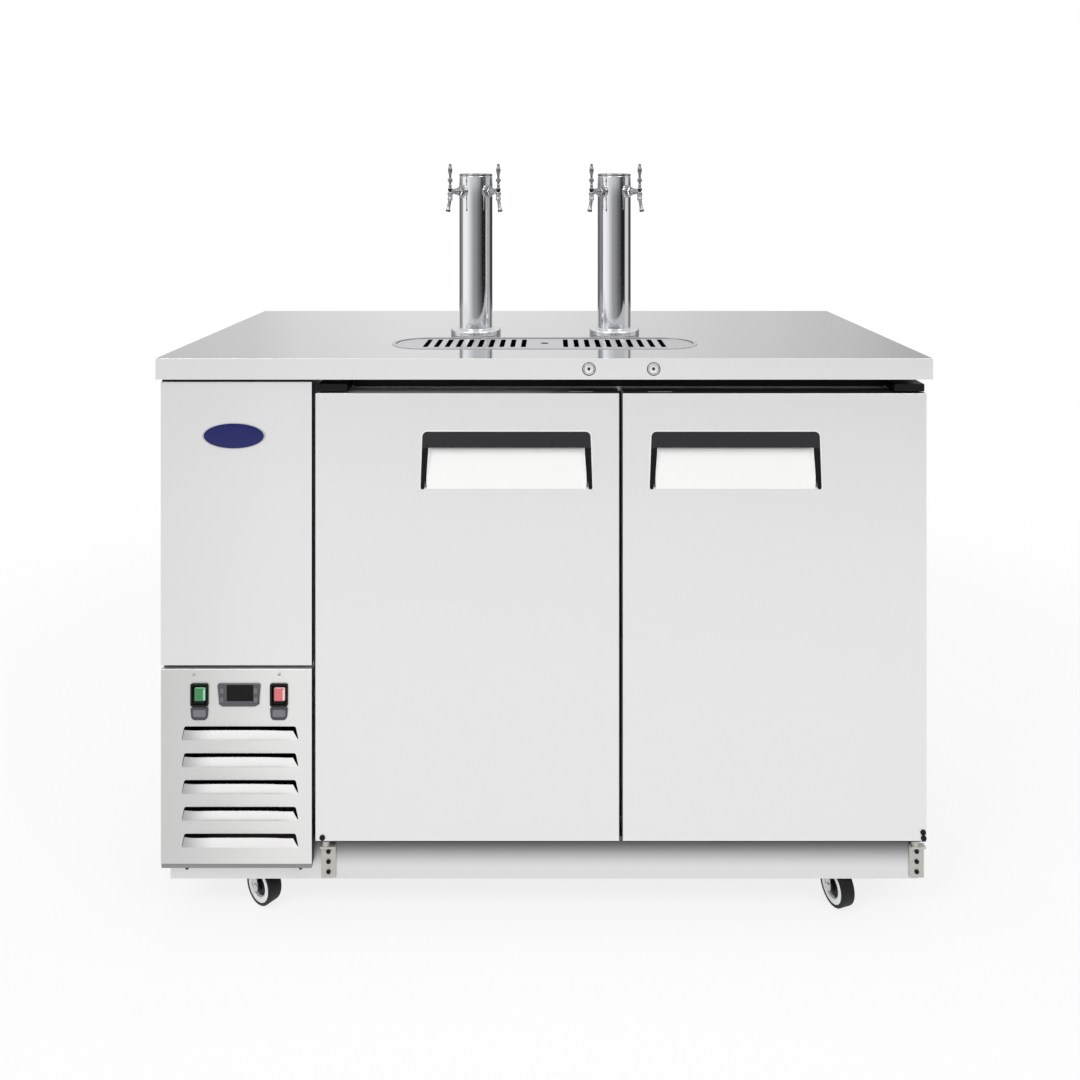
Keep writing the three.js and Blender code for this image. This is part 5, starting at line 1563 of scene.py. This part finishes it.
x = CONTROL_X["controller"]
housing = front_block("controller_frame", x, CONTROL_Z, *CONTROLLER_HALF, -2.8, -SEAT)
softened(tapered(housing, x, CONTROL_Z - CONTROLLER_HALF[1], inset=4, radius=4), 0.8, 3, 50)
fused(housing, front_block("controller_back", x, CONTROL_Z, *BACK_HALF, -1, 23.6))
window_middle = (x + WINDOW_SHIFT[0], CONTROL_Z + WINDOW_SHIFT[1])
bored(
    housing,
    front_block("window_well", *window_middle, *WINDOW_HALF, -10, 1),
    *[front_block("button_well", x + sx * BUTTON_SPREAD[0], CONTROL_Z + sz * BUTTON_SPREAD[1],
                  *BUTTON_HALF, -10, 3.4)
      for sx in (-1, 1) for sz in (-1, 1)],
)
fitted(housing, "cabinet", "controller_grey", "controller_body", angle=40)
finish("display", "moulded", (5, 6, 7), DARK, roughness=0.3,
       grain_tone=0.0, wear_tone=0.02, bump=0.0)
window_half = [half - WINDOW_GAP for half in WINDOW_HALF]
window = front_block("controller_window", *window_middle, *window_half, -2.2, 0.8)
fitted(softened(window, 0.6), "cabinet", "controller_grey", look="display")
for index in range(1, 5):
    node = f"controller_button_{index}"
    fitted(softened_copy(node, 0.7, 4, 20), node, slot_of[node], node, angle=50)

# %% Label holders
LABEL_Z = 394
LABEL_HALF = (17, 12)
CARD_SHIFT = (0.5, 1.25)
CARD_HALF = (12, 6.75)
finish("label", "moulded", (116, 118, 124), PLASTIC, roughness=0.35, grain_tone=0.02)
finish("label_holder", "moulded", (66, 67, 73), PLASTIC, roughness=0.4)
for name in ("power", "light"):
    x = CONTROL_X[name]
    holder = front_block(f"{name}_label_holder", x, LABEL_Z, *LABEL_HALF, -2.4, 0.2)
    softened(tapered(holder, x, LABEL_Z - LABEL_HALF[1], inset=2, radius=3.5), 0.6, 3, 50)
    fitted(holder, "cabinet", "switch_black", angle=40, look="label_holder")
    card = front_block(
        f"{name}_label_card", x + CARD_SHIFT[0], LABEL_Z + CARD_SHIFT[1], *CARD_HALF, -2.8, -2.2)
    with editing(card):
        rounded(runs_back, 3)
    fitted(card, "cabinet", "button_grey", angle=40, look="label")

# %% Screws and plugs
SCREW_HEAD = [
    (0, 0.8), (0.9, 0.8), (1.3, 2.2),
    *[(3.2 * math.cos(a), 0.3 + 1.9 * math.sin(a)) for a in (1.05, 0.8, 0.5, 0.2)],
    (3.3, 0), (0, 0),
]
HINGE_SCREW_HEAD = [
    (0, 0.3), (4.3, 0.3), (4.3, 1.2), *corner(3.2, 1.1, 1.1, 0, 90, 4), (1.4, 2.2), (0, 1.0)]
PLUG_HEAD = [(0, 0), (5.4, 0), (5.4, 0.8), *corner(4.2, 0.9, 1.2, 0, 90, 4), (0, 2.3)]
# Each row is (profile, steps, depth of the ground, its slot, {name: (body, x, z)}).
SMALL_PARTS = (
    (SCREW_HEAD, 20, FACE, "bracket",
     {f"panel_screw_{index}": ("cabinet", x, 468.5) for index, x in ((1, -664), (2, -502))}),
    (SCREW_HEAD, 20, -332, "hinge_black",
     {f"kick_screw_{index}": ("cabinet", x, 89.5) for index, x in ((1, -683), (2, -466))}),
    (HINGE_SCREW_HEAD, 28, -334.8, "hinge_black",
     {f"hinge_screw_{side}_{index + 1}": ("cabinet", x, 84.4 + index * 19.3)
      for side, x in (("left", -412), ("right", 711)) for index in range(3)}),
    (PLUG_HEAD, 32, FACE, "hinge_black",
     {"door_plug_left": ("door_left", -420.5, 158.5), "door_plug_right": ("door_right", 719, 157.5),
      "door_plug_stop": ("door_right", 718, 168.5)}),
)
for profile, steps, ground, slot, places in SMALL_PARTS:
    head = turned("head_model", profile, steps)
    for name, (body, x, z) in places.items():
        fitted(copied(head, name, at(x, ground, z) @ toward_front), body, slot, angle=50)
    removed(head)

# %% [markdown]
# ## Locks
# Each lock is a bright ring and plug in the worktop's front fold, set off by black rubber, which
# also stands for the shadow round the ring, and its cam turns down into a slot in the door's top.
# The round parts are turned. The keyhole is cut into the plug, the cam is melted onto its back, and
# black tumblers behind the keyhole, like the black ring in the groove, are painted shade.

# %% Locks
LOCK_FACE = -356.3
CAM_REACH = 56
LOCK_PARTS = {
    # The gap ring and the tumblers are black for the shade in the groove and inside the keyhole:
    # painted shade.
    "seal": ("hinge_black", 48, [(11.2, -3), (12.5, -3), (12.5, 0), (11.2, 0), (11.2, -3)]),
    "ring": (None, 48, [
        (9.6, -3), (11.2, -3), (11.2, -0.2), *corner(10.4, -0.1, 0.7, 0, 180, 6), (9.6, -3)]),
    "gap": ("hinge_black", 48, [(8.7, -2.6), (9.6, -2.6), (9.6, -1.1), (8.7, -1.1), (8.7, -2.6)]),
    "plug": (None, 48, [
        (0, -24.5), (9.4, -24.5), (9.4, -2.6), (8.7, -2.6), (8.7, -0.5), (8.3, -0.2), (0, 0)]),
    "shaded_tumblers": ("hinge_black", 32, [(0, -5.5), (4.2, -5.5), (4.2, -2.4), (3.4, -1.9), (0, -1.7)]),
}


def lock_cam(door):
    """A strip from the plug to beyond the door's free corner, with a round tip."""
    tip = door["lock"] - door["inward"] * CAM_REACH
    low, high = sorted((door["lock"], tip))
    cam = slab("cam", (low, CAM_FRONT, LOCK_Z - 7), (high, CAM_BACK, LOCK_Z + 7))
    with editing(cam):
        rounded(lambda a, b: runs_back(a, b) and near(a.x, tip), 4)
    return softened(cam, 0.4, 2)


lock_models = turned_models("lock", LOCK_PARTS)
for side, door in doors.items():
    node, x = f"lock_cylinder_{side}", door["lock"]
    where = at(x, LOCK_FACE, LOCK_Z) @ toward_front
    pieces = {
        part: copied(model, f"lock_{part}_{side}", where) for part, model in lock_models.items()
    }
    key_front, key_back = LOCK_FACE - 3, LOCK_FACE + 6
    bored(
        pieces["plug"],
        slab("keyhole", (x - 0.9, key_front, LOCK_Z - 3.4), (x + 0.9, key_back, LOCK_Z + 3.4)),
        rod("key_centre", 2.8, (x, key_front, LOCK_Z), (x, key_back, LOCK_Z), 24),
    )
    fused(pieces["plug"], lock_cam(door))
    for part, piece in pieces.items():
        stands_for = [node] if part == "plug" else []
        fitted(piece, node, "lock", *stands_for, angle=40, look=LOCK_PARTS[part][0])
removed(*lock_models.values())

# %% [markdown]
# ## Seals and shadow lines
# Dark lines outline the doors: a black rubber strip over them, one between them and a thin
# wiper under each. Their black is also painted shade, for the shade in these gaps. They are
# plain extrusions in reality, so blocks with softened edges are right.

# %% Seals
STRIP_FRONT, STRIP_BACK = -286.5, -284.15
STRIPS = {
    "header_seal": ((-373.4, 1001), (664.4, 1027)),
    "mullion_strip": ((136.5, 160), (154.5, 992)),
}
# These strips and wipers are black for the shade in the gaps round the doors: painted shade.
for name, ((left, foot), (right, head)) in STRIPS.items():
    strip = slab(name, (left, STRIP_FRONT, foot), (right, STRIP_BACK, head))
    fitted(softened(strip, 0.5, 2), "cabinet", "hinge_black")
for side, left, right in (("left", -433, 141), ("right", 150, 724)):
    wiper = slab(f"door_shade_wiper_{side}", (left, FACE + 0.7, 150.2), (right, FACE + 15, DOOR_BOTTOM))
    fitted(softened(wiper, 0.3, 2), f"door_{side}", "gasket", look="hinge_black")

# %% [markdown]
# ## Casters
# A caster is a pressed fork on a kingpin, with a rubber tyre on a wheel whose pressed rim is
# bright and whose middle is dark. Tyre, rim and hub are turned pieces. The fork's legs taper
# towards the axle: each is pushed down from a small block and melted into the crown's disc.

# %% Caster parts
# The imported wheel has 20 flats and stands on one of them, so its axle is that much lower.
WHEEL_RADIUS = 37.5
WHEEL_FLATS = 20
AXLE_Z = WHEEL_RADIUS * math.cos(math.pi / WHEEL_FLATS)
AXLE_RADIUS = 5.2
AXLE_HALF = 19.95
BOLT_SEAT = 19.8
TRAIL = 20
LEG_INSIDE, LEG_OUTSIDE = 17.05, 19.9
FORK_CROWN = [
    (5.4, 92.7), (24.5, 92.7), *corner(25.6, 94.1, 1.4, -90, 90, 6), (5.4, 95.5), (5.4, 92.7)]
AXLE_BOLT = [(0, 0), (7.2, 0), (7.2, 1.0), (6.6, 1.4), *corner(5.4, 0.9, 1.2, 20, 90, 3), (0, 2.4)]
WHEEL_PARTS = {
    "tyre": (None, 72, mirrored_down([
        (31, 12.5), (31.4, 13.6), (32, 14), *corner(33.4, 11.2, 3.6, 75, 0, 6)])),
    "rim": ("caster_rim", 72, mirrored_down([
        (19.5, 8.5), (20.2, 10.5), (21, 13.2), *corner(23, 13.2, 1.2, 150, 90, 3), (29.6, 14.4),
        (30.6, 13.8), (31, 12.5)])),
    "hub": ("hinge_black", 56, mirrored_down([
        (5.6, 16.6), (8.6, 16.6), (9, 16.2), (9, 11), (10.5, 9.6), (19.5, 8.4)])),
}


def fork_leg(side):
    """A plate that is pushed down and narrowed in steps; side is -1 or 1."""
    low, high = sorted((side * LEG_INSIDE, side * LEG_OUTSIDE))
    leg = slab("fork_leg", (-13.5, low, 92), (13.5, high, 95.4))
    with editing(leg):
        pick("faces", lambda middle, normal: normal.z < -0.9)
        for across, drop, narrow in ((0, -6, 1.0), (10, -24, 0.78), (10, -25, 0.62), (0, -6, 0.55)):
            pushed(x=across, z=drop)
            bpy.ops.transform.resize(value=(narrow, 1, 1))
    return softened(leg, 0.6, 2, 15)


def fork_model():
    """Crown, legs and axle in the caster's own frame, the wheel trailing along +X."""
    fork = turned("fork_crown", FORK_CROWN, 56)
    for side in (-1, 1):
        fused(fork, fork_leg(side))
    fused(fork, rod("axle", AXLE_RADIUS, (TRAIL, -AXLE_HALF, AXLE_Z), (TRAIL, AXLE_HALF, AXLE_Z)))
    bolt = turned("axle_bolt", AXLE_BOLT, 24)
    bolts = [
        copied(bolt, "axle_bolt", at(TRAIL, side * BOLT_SEAT, AXLE_Z, -90 * side, "X"))
        for side in (-1, 1)
    ]
    removed(bolt)
    return joined("fork_model", fork, *bolts)


# %% Casters
# Each caster is (x, y, the angle to which it has swivelled).
CASTERS = {
    "front_left": (-562, -283, -38),
    "front_right": (562, -283, -70),
    "rear_left": (-562, 283, -52),
    "rear_right": (562, 283, -52),
}
finish("caster_rim", "brushed", (236, 237, 238), {"Metallic": 0.35}, grain_scale=SPARKLE,
       roughness=0.35, grain_tone=0.05)
wheel_models = turned_models("wheel", WHEEL_PARTS)
fork = fork_model()
for name, (x, y, turn) in CASTERS.items():
    fork_place = at(x, y, 0, turn)
    wheel_place = fork_place @ at(TRAIL, 0, AXLE_Z, 90, "X")
    pressed = copied(fork, f"caster_fork_{name}_pressed", fork_place)
    fitted(pressed, f"caster_fork_{name}", "caster_metal", f"caster_fork_{name}")
    for part, model in wheel_models.items():
        piece = copied(model, f"caster_{part}_{name}", wheel_place)
        stands_for = [f"caster_wheel_{name}"] if part == "tyre" else []
        fitted(piece, f"caster_wheel_{name}", "caster_tyre", *stands_for, look=WHEEL_PARTS[part][0])
removed(*wheel_models.values(), fork)
